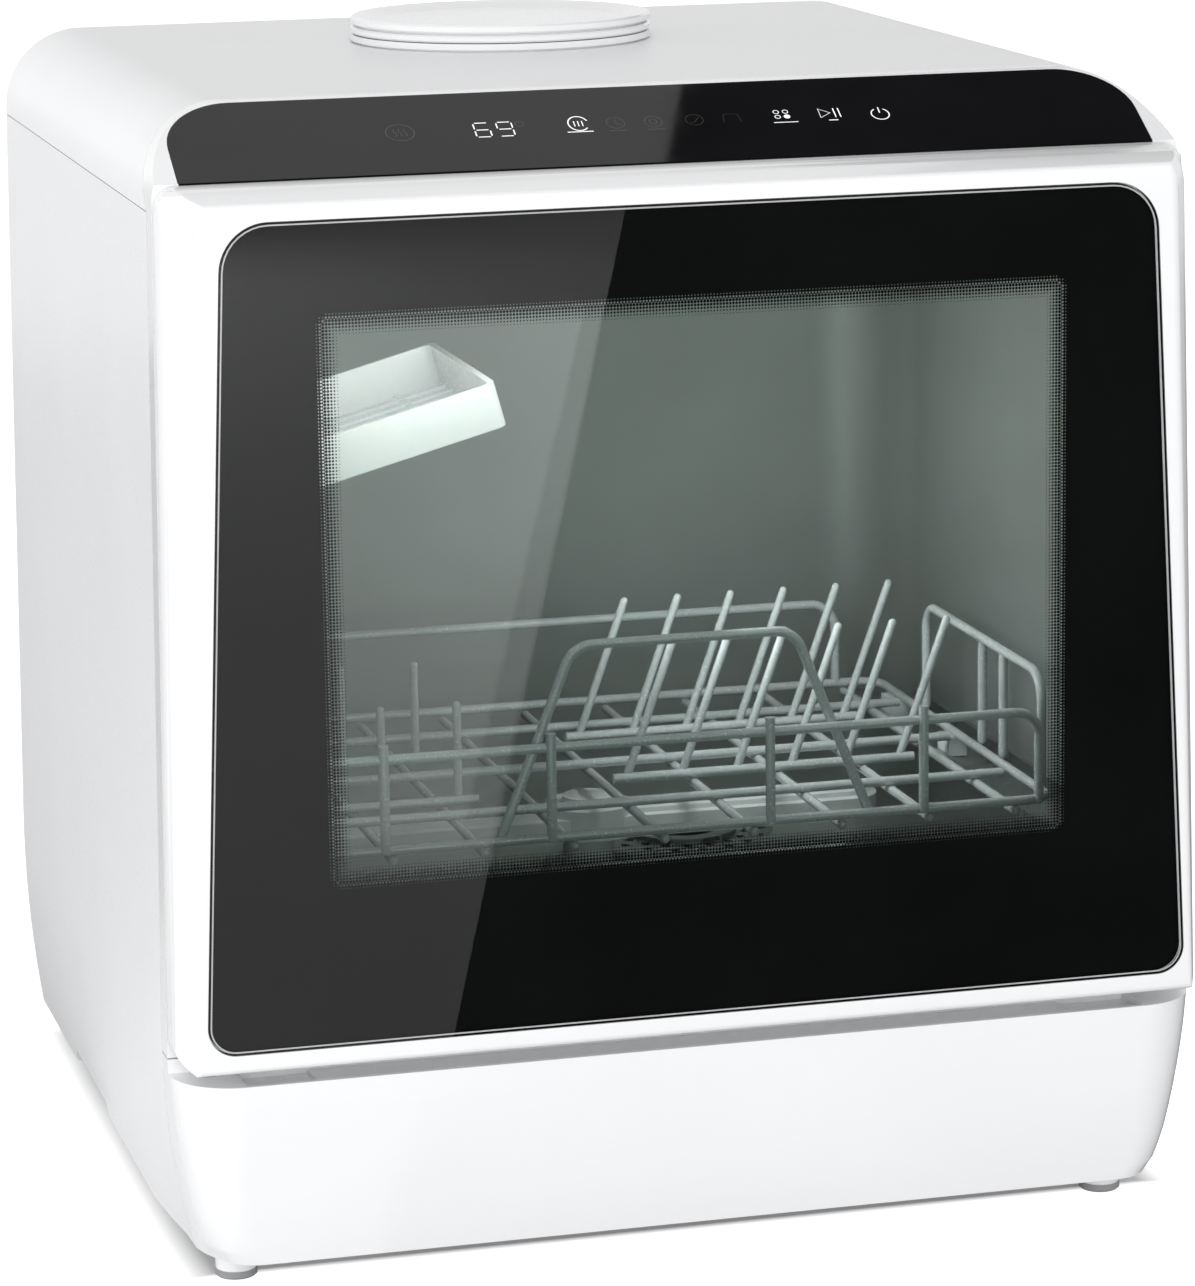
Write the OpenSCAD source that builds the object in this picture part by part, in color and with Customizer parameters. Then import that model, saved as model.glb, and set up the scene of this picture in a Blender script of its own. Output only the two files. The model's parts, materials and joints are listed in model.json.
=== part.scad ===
// Countertop dishwasher with a drop-down glass door, a sliding wire rack,
// a fold-up cup shelf, a spray arm and a water tank with a lift-off filler lid.
// X runs to the right, the door faces -Y, Z is up. The origin is the middle of
// the footprint on the surface that the machine stands on.

/* [Cabinet] */
// Width over the widest part of the side panels
body_w = 420; // [400:1:460]
// Width where the rounded top corners begin
top_w = 410; // [396:1:440]
// Depth from the door face to the back panel
body_d = 411; // [400:1:450]
// Height of the flat top
body_h = 463; // [460:1:500]
// Radius of the two long top edges
corner_r = 34; // [28:1:40]
// Wall of the moulded and sheet covers
wall = 2.5; // [2:0.5:3]
// Distance of the seam of the top cover below the flat top
seam_drop = 37; // [35:1:43]
// Visible gap between two covers
seam_gap = 0.4; // [0.3:0.1:0.8]
// Depth at which the front rounding meets the side panels
cheek_d = 42; // [40:1:48]

/* [Base] */
// Height of the lower edge of the covers
base_z = 15; // [12:1:18]
// Height of the lower edge of the door
belt_z = 97; // [96:1:100]
// Height of the top edge of the kick panel
kick_top = 91; // [86:1:91]
// How far the kick panel stands behind the door face
kick_setback = 3; // [2:1:6]
// How far the base curves in at its lower edge
base_taper = 11; // [6:1:14]
// Radius of the front corners of the base
base_corner_r = 26; // [20:1:32]
// Diameter of a foot
foot_d = 17; // [14:1:24]
// Distance from the centre line to the feet
foot_x = 182; // [160:1:184]
// Distance from the door face to the front feet
foot_y = 50; // [49:1:60]
// Width of the finger recess in each side panel
grip_w = 84; // [60:1:110]
// Height of the finger recess
grip_h = 6; // [5:1:10]
// Distance from the door face to the middle of the finger recess
grip_y = 267; // [220:1:290]

/* [Control panel] */
// Depth at which the sloped panel begins
slope_y = 31; // [31:1:33]
// Distance of the lower edge of the sloped panel below the flat top
slope_drop = 25.8; // [23:0.1:26]
// Depth at which the slope reaches the top
slope_end_y = 76; // [70:1:90]
// Width of the black control glass
panel_w = 389; // [340:1:389]
// Thickness of the control glass
panel_t = 2.2; // [1.5:0.1:3]
// Corner radius of the control glass
panel_r = 28; // [26:1:34]

/* [Door] */
// Thickness of the door's outer frame
door_t = 29.6; // [28:0.1:29.7]
// Gap between the door and the control panel
door_gap = 0.6; // [0.6:0.1:3]
// Corner radius of the door outline
door_r = 9; // [6:1:14]
// Radius of the long side rounding
cheek_r = 90; // [85:1:120]
// Small radius where the rounding meets the door face
nose_r = 3; // [2.5:0.5:4]
// Wall of the door frame
door_wall = 3; // [2.5:0.5:4]
// Height of the hinge axis above the lower edge of the door
hinge_h = 5; // [5:0.5:6]
// Distance from the door face to the hinge axis
hinge_y = 10; // [9:0.5:10]
// Radius of the hinge pins
hinge_pin_r = 2.5; // [2:0.1:3]

/* [Door glass] */
// Width of the black glass at its lower edge
glass_w = 398.4; // [370:0.2:398.4]
// Width of the black glass at its upper edge
glass_top_w = 369.6; // [340:0.2:374]
// Height of the lower edge of the glass
glass_z0 = 105; // [104:0.5:112]
// Distance of the upper edge of the glass below the flat top
glass_drop = 38; // [38:0.5:45]
// Thickness of the glass
glass_t = 4; // [3:0.5:4]
// Upper corner radius of the glass
glass_r = 19; // [12:1:24]
// Lower corner radius of the glass
glass_low_r = 11; // [8:1:16]
// Width of the opening behind the glass
window_w = 306; // [260:2:310]
// Height of the lower edge of the opening
window_z0 = 162; // [162:1:180]
// Distance of the upper edge of the opening below the flat top
window_drop = 71; // [71:1:90]

/* [Tub] */
// Inner width of the tub
tub_w = 366; // [360:1:366]
// Depth of the service space behind the inside of the tub
service_d = 81; // [80:1:91]
// Height of the tub floor
tub_floor = 118; // [117:0.5:119]
// Distance of the tub ceiling below the flat top
tub_drop = 55; // [55:0.5:56]
// Wall of the tub
tub_wall = 2; // [1.5:0.5:2.5]
// Radius of the rear upright corners of the tub
tub_r = 40; // [20:1:50]

/* [Rack] */
// Width of the rack over its wire centres
rack_w = 330; // [300:1:332]
// Distance from the door face to the front wires
rack_y0 = 61.5; // [61:0.5:66]
// Distance from the rear wires to the back of the tub
rack_gap = 34; // [30:1:50]
// Height of the rack's lower ring
rack_z = 165; // [164:1:168]
// Height of the front wire above the lower ring
front_wire_h = 37; // [30:1:44]
// Height of the side frames above the lower ring
side_wire_h = 49; // [45:1:60]
// Radius of the rack wires
wire_r = 2; // [1.5:0.1:2.2]
// Height of the handle above the lower ring
handle_h = 77; // [65:1:90]
// Width of the handle's top bar
handle_w = 92; // [70:1:110]
// Sideways place of the handle
handle_x = 10; // [-10:1:14]
// Number of floor wires from front to back
floor_wires = 9; // [7:1:11]
// Number of plate tines in a row
tine_count = 6; // [4:1:6]
// Distance between plate tines
tine_pitch = 24; // [20:1:24]
// Lean of the plate tines
tine_lean = 20; // [0:1:22]

/* [Cup shelf] */
// Length of the shelf from the wall
shelf_len = 126; // [110:1:130]
// Depth of the shelf from front to back
shelf_d = 112; // [80:1:140]
// Height of the shelf's front edge
shelf_t = 18; // [12:1:20]
// Slope of the shelf at rest
shelf_tilt = 15; // [8:1:16]
// Distance of the shelf's pivot below the tub ceiling
shelf_drop = 108; // [106:1:116]
// Distance from the door face to the shelf
shelf_y = 82; // [70:1:100]

/* [Spray arm] */
// Gap between the path of the spray arm's ends and the back of the tub
arm_gap = 17; // [15:1:45]
// Width of the spray arm
arm_w = 30; // [24:1:36]
// Height of the arm's underside above the tub floor
arm_z = 16; // [14:1:18]

/* [Filler] */
// Diameter of the lid
lid_d = 129; // [110:1:136]
// Sideways place of the filler
filler_x = -8; // [-20:1:10]
// Distance from the back of the machine to the middle of the filler
filler_back = 126; // [121:1:141]
// Inner diameter of the filler neck
neck_d = 88; // [70:1:92]

/* [Hidden] */
$fn = 96;

fit = 0.3;
run_fit = 0.06;
reach = 600;
eps = 0.01;

shoulder_z = body_h - corner_r;
side_lean = (top_w - body_w) / 2 / (shoulder_z - belt_z);
base_drop = belt_z - base_z;
base_arc_r = (base_taper ^ 2 + base_drop ^ 2) / (2 * base_taper);
tray_inset = wall + fit;
tray_floor = 3;
tray_z = base_z + tray_floor;
tray_h = 32;
back_y = body_d - 5;
sill_w = 310;

seam_z = body_h - seam_drop;
slope_z = body_h - slope_drop;
door_top = slope_z - door_gap;
glass_z1 = body_h - glass_drop;
window_z1 = body_h - window_drop;
tub_top = body_h - tub_drop;
tub_back = body_d - service_d;

cheek_flare = 3.1;
cheek_top_flare = 0.8;
cheek_lean = atan((body_w / 2 + cheek_flare - top_w / 2 - cheek_top_flare) / (shoulder_z - belt_z));
brow_d = 34;
brow_r = 110;
rim_y = door_t + 0.7;
rim_t = 3;
rim_back = rim_y + rim_t;

slope_a = atan((body_h - slope_z) / (slope_end_y - slope_y));
slope_len = (slope_end_y - slope_y) / cos(slope_a);
slope_skin = 4;
crest_r = 6;
crest_run = crest_r * tan(slope_a / 2);
top_seam_y = slope_end_y + 4;
panel_len = slope_len - crest_run;

hinge_z = belt_z + hinge_h;
hinge_inset = 32;
hinge_arm_x = body_w / 2 - hinge_inset;
hinge_arm_w = 4.4;
hinge_slot_w = hinge_arm_w + 1;
hinge_boss_r = hinge_h - fit;
hinge_pin_len = 26;

gasket_w = 5;
plug_play = 1.5;
plug_w = tub_w - 2 * (gasket_w + plug_play);
plug_z0 = tub_floor + gasket_w + plug_play;
plug_z1 = tub_top - gasket_w - plug_play;
plug_y = door_t + 7.4;
skin_t = 2.5;
ledge_back = glass_t + 3;
flange_w = 3;
flange_y = rim_back + eps;
tub_under = tub_floor - tub_wall;
tub_over = tub_top + tub_wall;
latch_z = tub_over + flange_w + 1.5;
latch_half = 6;
hook_y = door_t + 14.4;

cup_w = 66;
cup_z0 = plug_z0 + 6;
cup_z1 = window_z0 - 6;
cover_travel = 36;

sump_x = 55;
sump_back = 95;
sump_y = tub_back - sump_back;
sump_r = 46;
well_r = 26;
hub_front = 20;
hub_y = tub_back / 2 + hub_front;
arm_len = 2 * (tub_back - arm_gap - hub_y);
hub_r = 8;
pump_z = 56;
pump_r = 32;
pipe_r = 7;

tank_y0 = tub_back + tub_wall + 4;
tank_y1 = back_y - 2 * fit - 2.5;
tank_wall = 2.5;
tank_top = body_h - wall - 9;

fan_r = 32;
fan_side = 29;
fan_back = 38;
fan_drop = 133;
fan_x = top_w / 2 - fan_side;
fan_y = back_y - fan_back;
fan_z = body_h - fan_drop;
heater_z = fan_z + fan_r + 3;
pocket_d = 20;
pocket_w = 68;
pocket_side = 20;
pocket_y = back_y - pocket_d;
pocket_x1 = body_w / 2 - pocket_side;
pocket_x0 = pocket_x1 - pocket_w;
pocket_z0 = 38;
pocket_z1 = 90;
inlet_x = pocket_x0 + 20;
drain_x = pocket_x1 - 16;
port_z = 62;
gland_x = pocket_x0 + pocket_w / 2;
gland_z = pocket_z1 + 22;

tank_side = 25;
tank_x0 = tank_side - body_w / 2;
tank_x1 = pocket_x0 - 14;
loft_x0 = tank_x0 + 73;
loft_x1 = tank_x1 - 8;
loft_front = 64;
filler_y = body_d - filler_back;
board_x1 = top_w / 2 - 17;
board_w = 73;
board_y0 = filler_y - 49;
board_d = 90;

ring_r = 12;
wire_gap = 2 * wire_r + 0.05;
wire_weld = 2 * wire_r - 0.4;
rail_top = rack_z - wire_r - 8;
shoe_len = 16;
wire_shift = 1.2;
bend_swell = 0.02;
side_tuck = 0.002;
bend_lap = 0.3;
rack_y1 = tub_back - rack_gap;
cross_y1 = rack_y0 + 50.5;
cross_y3 = rack_y1 - 44;
cross_y2 = (cross_y1 + cross_y3) / 2;
tine_y1 = rack_y0 + 88.5;
tine_y2 = rack_y1 - 66;
short_tine_shift = 16;

shelf_x = -tub_w / 2 + 9;
shelf_z = tub_top - shelf_drop;
shelf_pin_r = 2.5;
barrel_r = 5.5;

collar_h = 3.4;
lid_z = body_h + collar_h + fit;

// ---------------------------------------------------------------- helpers

function half_at(z) = body_w / 2 + (z - belt_z) * side_lean;

function unit(v) = v / norm(v);

// Height of the inner face of the slope at a depth.
function under_slope(y) = slope_z + (y - slope_y) * tan(slope_a) - slope_skin / cos(slope_a);

// Height of the ledge under the door at a depth.
function ledge_at(y) = kick_top - 2 - (y - kick_setback) * 0.1;

module placed() translate([0, -body_d / 2, 0]) children();

module both_sides() {
    children();
    mirror([1, 0, 0]) children();
}

// Extrudes an X-Z outline along Y.
module along_y(y0, y1) translate([0, y1, 0]) rotate([90, 0, 0]) linear_extrude(y1 - y0) children();

// Extrudes a Y-Z outline along X.
module along_x(x0, x1) translate([x0, 0, 0]) rotate([90, 0, 90]) linear_extrude(x1 - x0) children();

module block(x0, x1, y0, y1, z0, z1) translate([x0, y0, z0]) cube([x1 - x0, y1 - y0, z1 - z0]);

module box_2d(x0, x1, y0, y1) translate([x0, y0]) square([x1 - x0, y1 - y0]);

module round_box_2d(x0, x1, y0, y1, r) {
    box_2d(x0 + r, x1 - r, y0, y1);
    box_2d(x0, x1, y0 + r, y1 - r);
    for (x = [x0 + r, x1 - r], y = [y0 + r, y1 - r]) translate([x, y]) circle(r);
}

// A symmetric trapezoid with round corners: widths w0 and w1 at heights z0 and z1.
// Its slanted sides run a hair inside the corner circles, so that they always cross.
module round_trapezoid(w0, w1, z0, z1, r0, r1) {
    lean = (w1 - w0) / 2 / (z1 - z0);
    q = sqrt(1 + lean ^ 2);
    c0 = [w0 / 2 + lean * r0 - r0 * q, z0 + r0];
    c1 = [w1 / 2 - lean * r1 - r1 * q, z1 - r1];
    out = [1 / q, -lean / q];
    right = [[c0.x, z0], c0 + (r0 - side_tuck) * out, c1 + (r1 - side_tuck) * out, [c1.x, z1]];
    polygon(concat(right, [for (i = [3:-1:0]) [-right[i].x, right[i].y]]));
    for (m = [-1, 1]) {
        translate([m * c0.x, c0.y]) circle(r0);
        translate([m * c1.x, c1.y]) circle(r1);
    }
}

// A pillowed edge: the region left of x = 0 and above y = 0, whose corner rolls over on a
// large radius that ends in a small one.
module rolled_edge_2d(depth, r) {
    centre = [-r, depth];
    tip = [-r + sqrt((r - nose_r) ^ 2 - (depth - nose_r) ^ 2), nose_r];
    touch = centre + (tip - centre) * r / (r - nose_r);
    box_2d(-reach, 0, depth, reach);
    box_2d(-reach, 1 - r, touch.y, depth + 1);
    intersection() {
        translate(centre) circle(r);
        box_2d(-r, 0, touch.y, depth + 1);
    }
    polygon([[-reach, 0], [tip.x, 0], touch, [-reach, touch.y]]);
    translate(tip) circle(nose_r);
}

// The inner face of a pillowed edge, one wall in from the outside.
module rolled_hollow_2d(depth, r, inset) {
    box_2d(-reach, -inset, depth, reach);
    box_2d(-reach, 1 - r, 0, depth + 1);
    intersection() {
        translate([-r, depth]) circle(r - inset);
        box_2d(-r, 0, 0, depth + 1);
    }
}

// A round bar from p to q. Either end can be rounded.
module rod(p, q, r, round_p = false, round_q = false) {
    d = q - p;
    translate(p) rotate([0, acos(d.z / norm(d)), atan2(d.y, d.x)]) {
        cylinder(h = norm(d), r = r);
        if (round_p) sphere(r);
        if (round_q) translate([0, 0, norm(d)]) sphere(r);
    }
}

// A wire bent through the points of a plane path, with round bends and round ends.
// The bends are a hair thicker, and the straight pieces lap into them.
module bent_wire(points, bend, r, closed = false) {
    n = len(points);
    last = closed ? n - 1 : n - 2;
    function at(i) = points[(i + n) % n];
    function to_prev(i) = unit(at(i - 1) - at(i));
    function to_next(i) = unit(at(i + 1) - at(i));
    function is_bend(i) = closed || (i > 0 && i < n - 1);
    function half_angle(i) = acos(to_prev(i) * to_next(i)) / 2;
    function trim(i) = is_bend(i) ? bend / tan(half_angle(i)) : 0;
    for (i = [0:last]) {
        p = at(i) + to_next(i) * (trim(i) - (is_bend(i) ? bend_lap : 0));
        q = at(i + 1) - to_next(i) * (trim((i + 1) % n) - (is_bend((i + 1) % n) ? bend_lap : 0));
        rod([p.x, p.y, 0], [q.x, q.y, 0], r, !is_bend(i), !is_bend((i + 1) % n));
    }
    for (i = [0:n - 1]) if (is_bend(i)) {
        centre = at(i) + unit(to_prev(i) + to_next(i)) * bend / sin(half_angle(i));
        from = at(i) + to_prev(i) * trim(i) - centre;
        till = at(i) + to_next(i) * trim(i) - centre;
        a0 = atan2(from.y, from.x);
        a1 = atan2(till.y, till.x);
        turn = (a1 - a0 + 540) % 360 - 180;
        translate([centre.x, centre.y, 0]) rotate([0, 0, turn > 0 ? a0 : a1])
            rotate_extrude(angle = abs(turn)) translate([bend, 0]) circle(r + bend_swell);
    }
}

// ---------------------------------------------------------------- outlines

// Front view of the cabinet above the belt.
module skin_2d(inset) {
    cx = top_w / 2 - corner_r;
    polygon([
        [-half_at(belt_z) + inset, belt_z], [half_at(belt_z) - inset, belt_z],
        [top_w / 2 - inset, shoulder_z], [cx, body_h - inset],
        [-cx, body_h - inset], [-top_w / 2 + inset, shoulder_z]
    ]);
    for (m = [-1, 1]) translate([m * cx, shoulder_z]) circle(corner_r - inset);
}

// Front view of the cabinet below the belt.
module low_skin_2d(inset) intersection() {
    box_2d(-body_w / 2, body_w / 2, base_z, belt_z);
    translate([body_w / 2 - base_arc_r, belt_z]) circle(base_arc_r - inset);
    translate([base_arc_r - body_w / 2, belt_z]) circle(base_arc_r - inset);
}

// Right half of the front view, up to a height.
module side_region_2d(inset, z1) {
    polygon([
        [0, belt_z], [half_at(belt_z) - inset, belt_z], [half_at(z1) - inset, z1], [0, z1]
    ]);
    intersection() {
        box_2d(0, body_w / 2, base_z, belt_z);
        translate([body_w / 2 - base_arc_r, belt_z]) circle(base_arc_r - inset);
    }
}

// Radial outline of the base at its front corners.
module base_profile_2d(inset, z0, z1) intersection() {
    box_2d(0, base_corner_r, z0, z1);
    translate([base_corner_r - base_arc_r, belt_z]) circle(base_arc_r - inset);
}

// The solid inside the base's outer surface, with round front corners.
module base_form(inset, y1, z0, z1) {
    cx = body_w / 2 - base_corner_r;
    cy = kick_setback + base_corner_r;
    block(-cx, cx, cy, y1, z0, z1);
    along_x(-cx, cx) translate([cy, 0]) mirror([1, 0]) base_profile_2d(inset, z0, z1);
    both_sides() {
        along_y(cy, y1) translate([cx, 0]) base_profile_2d(inset, z0, z1);
        translate([cx, cy, 0]) rotate([0, 0, -90])
            rotate_extrude(angle = 90) base_profile_2d(inset, z0, z1);
    }
}

// Everything between the two pillowed cheeks of the front, for a cheek outline given as child.
module between_cheeks() intersection_for (m = [0, 1])
    mirror([m, 0, 0]) translate([body_w / 2 + cheek_flare, 0, belt_z]) rotate([0, -cheek_lean, 0])
        translate([0, 0, -reach / 2]) linear_extrude(2 * reach) children();

module below_brow() along_x(-reach, reach) translate([0, door_top + fit]) mirror([1, -1])
    children();

// Front outline of the door.
module door_outline_2d(inset) round_trapezoid(
    2 * (half_at(belt_z) - fit - inset), 2 * (half_at(door_top) - fit - inset),
    belt_z + inset, door_top - inset, door_r - inset, door_r - inset);

// The pillowed outer form of the door.
module door_form() intersection() {
    along_y(0, door_t) door_outline_2d(0);
    between_cheeks() rolled_edge_2d(cheek_d, cheek_r);
    below_brow() rolled_edge_2d(brow_d, brow_r);
    along_x(-reach, reach) {
        polygon([
            [nose_r, belt_z], [door_t - 2, belt_z], [door_t, belt_z + 2], [door_t, reach],
            [0, reach], [0, belt_z + nose_r]
        ]);
        translate([nose_r, belt_z + nose_r]) circle(nose_r);
    }
}

// The hollow inside the door's shell, open at the back.
module door_hollow(y0) intersection() {
    along_y(y0, reach) door_outline_2d(door_wall);
    between_cheeks() rolled_hollow_2d(cheek_d, cheek_r, door_wall);
    below_brow() rolled_hollow_2d(brow_d, brow_r, door_wall);
}

module glass_2d(grow) round_trapezoid(
    glass_w + 2 * grow, glass_top_w + 2 * grow, glass_z0 - grow, glass_z1 + grow,
    glass_low_r + grow, glass_r + grow);

module window_2d(grow) round_box_2d(
    -window_w / 2 - grow, window_w / 2 + grow, window_z0 - grow, window_z1 + grow, 8 + grow);

module plug_2d(grow) round_box_2d(
    -plug_w / 2 - grow, plug_w / 2 + grow, plug_z0 - grow, plug_z1 + grow, 10 + grow);

module mouth_2d(grow) round_box_2d(
    -tub_w / 2 - grow, tub_w / 2 + grow, tub_floor - grow, tub_top + grow, 14 + grow);

// Plan of the tub, with round rear corners.
module tub_plan_2d(grow) {
    w = tub_w / 2 + grow;
    r = tub_r + grow;
    box_2d(-w, w, flange_y, tub_back - tub_r);
    box_2d(-w + r, w - r, flange_y, tub_back + grow);
    for (m = [-1, 1]) translate([m * (w - r), tub_back - tub_r]) circle(r);
}

// Puts its children on the sloped panel: Y runs up the slope, Z out of it.
module on_slope() translate([0, slope_y, slope_z]) rotate([slope_a, 0, 0]) children();

// Outline of the control glass on the slope.
module panel_2d(grow) {
    w = panel_w / 2 + grow;
    r = panel_r + grow;
    top = panel_len + grow;
    box_2d(-w, w, -grow, top - r);
    box_2d(-w + r, w - r, -grow, top);
    intersection() {
        box_2d(-w - 1, w + 1, -grow, top + 1);
        for (m = [-1, 1]) translate([m * (w - r), top - r]) circle(r);
    }
}

// Side view of the front frame.
module frame_side_2d() {
    crest = [slope_end_y, body_h];
    along = [cos(slope_a), sin(slope_a)];
    polygon([
        [rim_y, belt_z + fit], [cheek_d, belt_z + fit], [cheek_d, seam_z],
        [top_seam_y, body_h], crest + [crest_run, 0], crest - crest_run * along,
        [slope_y, slope_z], [rim_y, slope_z]
    ]);
    intersection() {
        translate(crest + [crest_run, -crest_r]) circle(crest_r);
        polygon([crest, crest + [crest_run, 0], crest - crest_run * along]);
    }
}

// ---------------------------------------------------------------- cabinet

module side_panel() placed() difference() {
    along_y(cheek_d + seam_gap, body_d) difference() {
        side_region_2d(0, seam_z - seam_gap);
        side_region_2d(wall, seam_z - seam_gap);
    }
    along_x(0, reach) round_box_2d(
        grip_y - grip_w / 2, grip_y + grip_w / 2, base_z - 20, base_z + grip_h, grip_h - 1);
}

module side_panel_right() color("whitesmoke") side_panel();

module side_panel_left() color("whitesmoke") mirror([1, 0, 0]) side_panel();

module top_cover() color("white") placed() difference() {
    intersection() {
        along_y(0, body_d) difference() {
            skin_2d(0);
            skin_2d(wall);
        }
        along_x(-reach, reach) polygon([
            [cheek_d + seam_gap, seam_z], [body_d, seam_z], [body_d, body_h + 1],
            [top_seam_y + seam_gap, body_h + 1], [top_seam_y + seam_gap, body_h]
        ]);
    }
    translate([filler_x, filler_y, 0]) cylinder(h = reach, r = neck_d / 2 + wall + fit);
}

module front_frame() color("white") placed() difference() {
    intersection() {
        along_y(0, body_d) skin_2d(0);
        between_cheeks() rolled_edge_2d(cheek_d, cheek_r);
        along_x(-reach, reach) frame_side_2d();
    }
    // the hollow behind the rim and under the slope
    intersection() {
        along_y(rim_back, body_d) skin_2d(wall);
        along_x(-reach, reach) polygon([
            [rim_back, belt_z + 3], [body_d, belt_z + 3], [body_d, body_h - wall],
            [slope_y + (body_h - wall - under_slope(slope_y)) / tan(slope_a), body_h - wall],
            [rim_back, under_slope(rim_back)]
        ]);
    }
    along_y(0, reach) mouth_2d(fit);
    on_slope() {
        translate([0, 0, -panel_t - eps]) linear_extrude(20) panel_2d(0.2);
        translate([-panel_w / 2, -20, -panel_t - eps]) cube([panel_w, 30, 20]);
    }
    // slots for the hinge arms and the latch hook
    both_sides() block(hinge_arm_x - hinge_slot_w / 2, hinge_arm_x + hinge_slot_w / 2, 0, reach,
        belt_z - 1, hinge_z + 7);
    block(-latch_half - 3, latch_half + 3, 0, rim_back + 1, latch_z - 2, latch_z + 13);
}

module kick_panel() color("white") placed() {
    cx = body_w / 2 - base_corner_r;
    y0 = kick_setback + wall;
    difference() {
        intersection() {
            base_form(0, cheek_d, base_z, belt_z - fit);
            along_x(-reach, reach) polygon([
                [0, 0], [reach, 0], [reach, reach], [rim_y, reach], [rim_y, kick_top], [0, kick_top]
            ]);
        }
        intersection() {
            base_form(wall, reach, base_z - 1, belt_z + 1);
            along_x(-reach, reach) polygon([
                [0, 0], [reach, 0], [reach, reach], [rim_back, reach],
                [rim_back, kick_top - 6], [0, kick_top - 6]
            ]);
        }
        // sloped ledge under the door
        along_x(-cx, cx) polygon([
            [y0, ledge_at(y0)], [rim_y, ledge_at(rim_y)], [rim_y, kick_top + 1],
            [y0, kick_top + 1]
        ]);
    }
}

module sill_strip() color("gainsboro") placed() {
    y0 = kick_setback + wall + 2;
    y1 = rim_y - 1;
    along_x(-sill_w / 2, sill_w / 2) polygon([
        [y0, ledge_at(y0) + eps], [y1, ledge_at(y1) + eps],
        [y1, ledge_at(y1) + 1.5], [y0, ledge_at(y0) + 1.5]
    ]);
}

module base_tray() color("lightgray") placed() {
    z1 = base_z + tray_h;
    difference() {
        base_form(tray_inset, back_y - fit, base_z, z1);
        base_form(tray_inset + 2.5, back_y - fit - 2.5, tray_z, z1 + 1);
        // air slots
        for (x = [-120:24:-24]) block(x, x + 8, 90, 150, 0, reach);
        for (x = [-foot_x, foot_x], y = [foot_y, body_d - foot_y])
            translate([x, y, 0]) cylinder(h = reach, r = 3.2);
        both_sides() along_x(body_w / 2 - 31.5, reach) round_box_2d(grip_y - grip_w / 2,
            grip_y + grip_w / 2, base_z - 20, base_z + grip_h, grip_h - 1);
        block(pocket_x0 - 3, pocket_x1 + 3, pocket_y - 10, reach, pocket_z0 - 3, reach);
    }
    // finger recess liners
    both_sides() difference() {
        block(body_w / 2 - 34, body_w / 2 - base_taper - tray_inset - 1, grip_y - grip_w / 2 - 2.5,
            grip_y + grip_w / 2 + 2.5, base_z, base_z + grip_h + 2.5);
        block(body_w / 2 - 31.5, reach, grip_y - grip_w / 2, grip_y + grip_w / 2,
            0, base_z + grip_h);
    }
    // hinge towers
    both_sides() block(hinge_arm_x - 10, hinge_arm_x + 10, cheek_d + 3.2, cheek_d + 12,
        tray_z - 1, tub_under - 4);
    // posts under the tub
    for (x = [-150, 150], y = [80, tub_back - 25]) translate([x, y, tray_z - 1])
        cylinder(h = tub_under - fit - tray_z + 1, r = 7);
    // blind bosses beside the front feet
    for (x = [-165, 165]) translate([x, foot_y - 4, base_z - 5]) cylinder(h = 6, r = 6);
}

module back_panel() color("whitesmoke") placed() {
    difference() {
        along_y(back_y, back_y + wall) {
            intersection() {
                skin_2d(tray_inset);
                box_2d(-reach, reach, belt_z, reach);
            }
            low_skin_2d(tray_inset);
        }
        block(pocket_x0, pocket_x1, 0, reach, pocket_z0, pocket_z1);
        // outlet slots of the drying fan and louvres of the tank bay
        for (z = [fan_z - 28:7:fan_z - 7])
            along_y(0, reach) round_box_2d(fan_x - 24, fan_x + 14, z, z + 3.6, 1.7);
        for (z = [150:9:222], x = [-150:76:2])
            along_y(0, reach) round_box_2d(x, x + 62, z, z + 4, 1.9);
        translate([gland_x, 0, gland_z]) rotate([-90, 0, 0]) cylinder(h = reach, r = 6.3);
    }
    // recessed pocket for the water connections
    difference() {
        block(pocket_x0 - 2, pocket_x1 + 2, pocket_y - 2, back_y + 1, pocket_z0 - 2, pocket_z1 + 2);
        block(pocket_x0, pocket_x1, pocket_y, reach, pocket_z0, pocket_z1);
        translate([inlet_x, 0, port_z]) rotate([-90, 0, 0]) cylinder(h = reach, r = 10.3);
        translate([drain_x, 0, port_z]) rotate([-90, 0, 0]) cylinder(h = reach, r = 8.3);
    }
}

module foot(x, y) color("gray") placed() translate([x, y, 0]) difference() {
    union() {
        rotate_extrude() {
            polygon([
                [0, 0], [foot_d / 2 - 3, 0], [foot_d / 2 - 1, 1.4], [foot_d / 2 - 1, 6],
                [foot_d / 2, 7], [foot_d / 2, 10], [foot_d / 2 - 2, base_z - eps],
                [0, base_z - eps]
            ]);
        }
        cylinder(h = base_z + 1.5, r = 3);
    }
    translate([0, 0, -1]) cylinder(h = 3, r = foot_d / 2 - 5);
}

module foot_front_left() foot(-foot_x, foot_y);

module foot_front_right() foot(foot_x, foot_y);

module foot_rear_left() foot(-foot_x, body_d - foot_y);

module foot_rear_right() foot(foot_x, body_d - foot_y);

// ---------------------------------------------------------------- controls

module control_glass() color("black") placed() on_slope()
    translate([0, 0, -panel_t]) linear_extrude(panel_t) panel_2d(0);

module display_board() color("darkgreen") placed() on_slope() {
    board_z = -slope_skin - 4;
    translate([-128, 14, board_z - 1.6]) cube([228, 26, 1.6]);
    for (x = [-124, 96], y = [18, 36]) translate([x, y, board_z]) cylinder(h = 4 - eps, r = 2);
    translate([-92, 18, board_z]) cube([34, 18, 2.4]);
    for (i = [0:7]) translate([-45 + 18 * i, 27, board_z]) cylinder(h = 2.2, r = 5);
}

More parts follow.
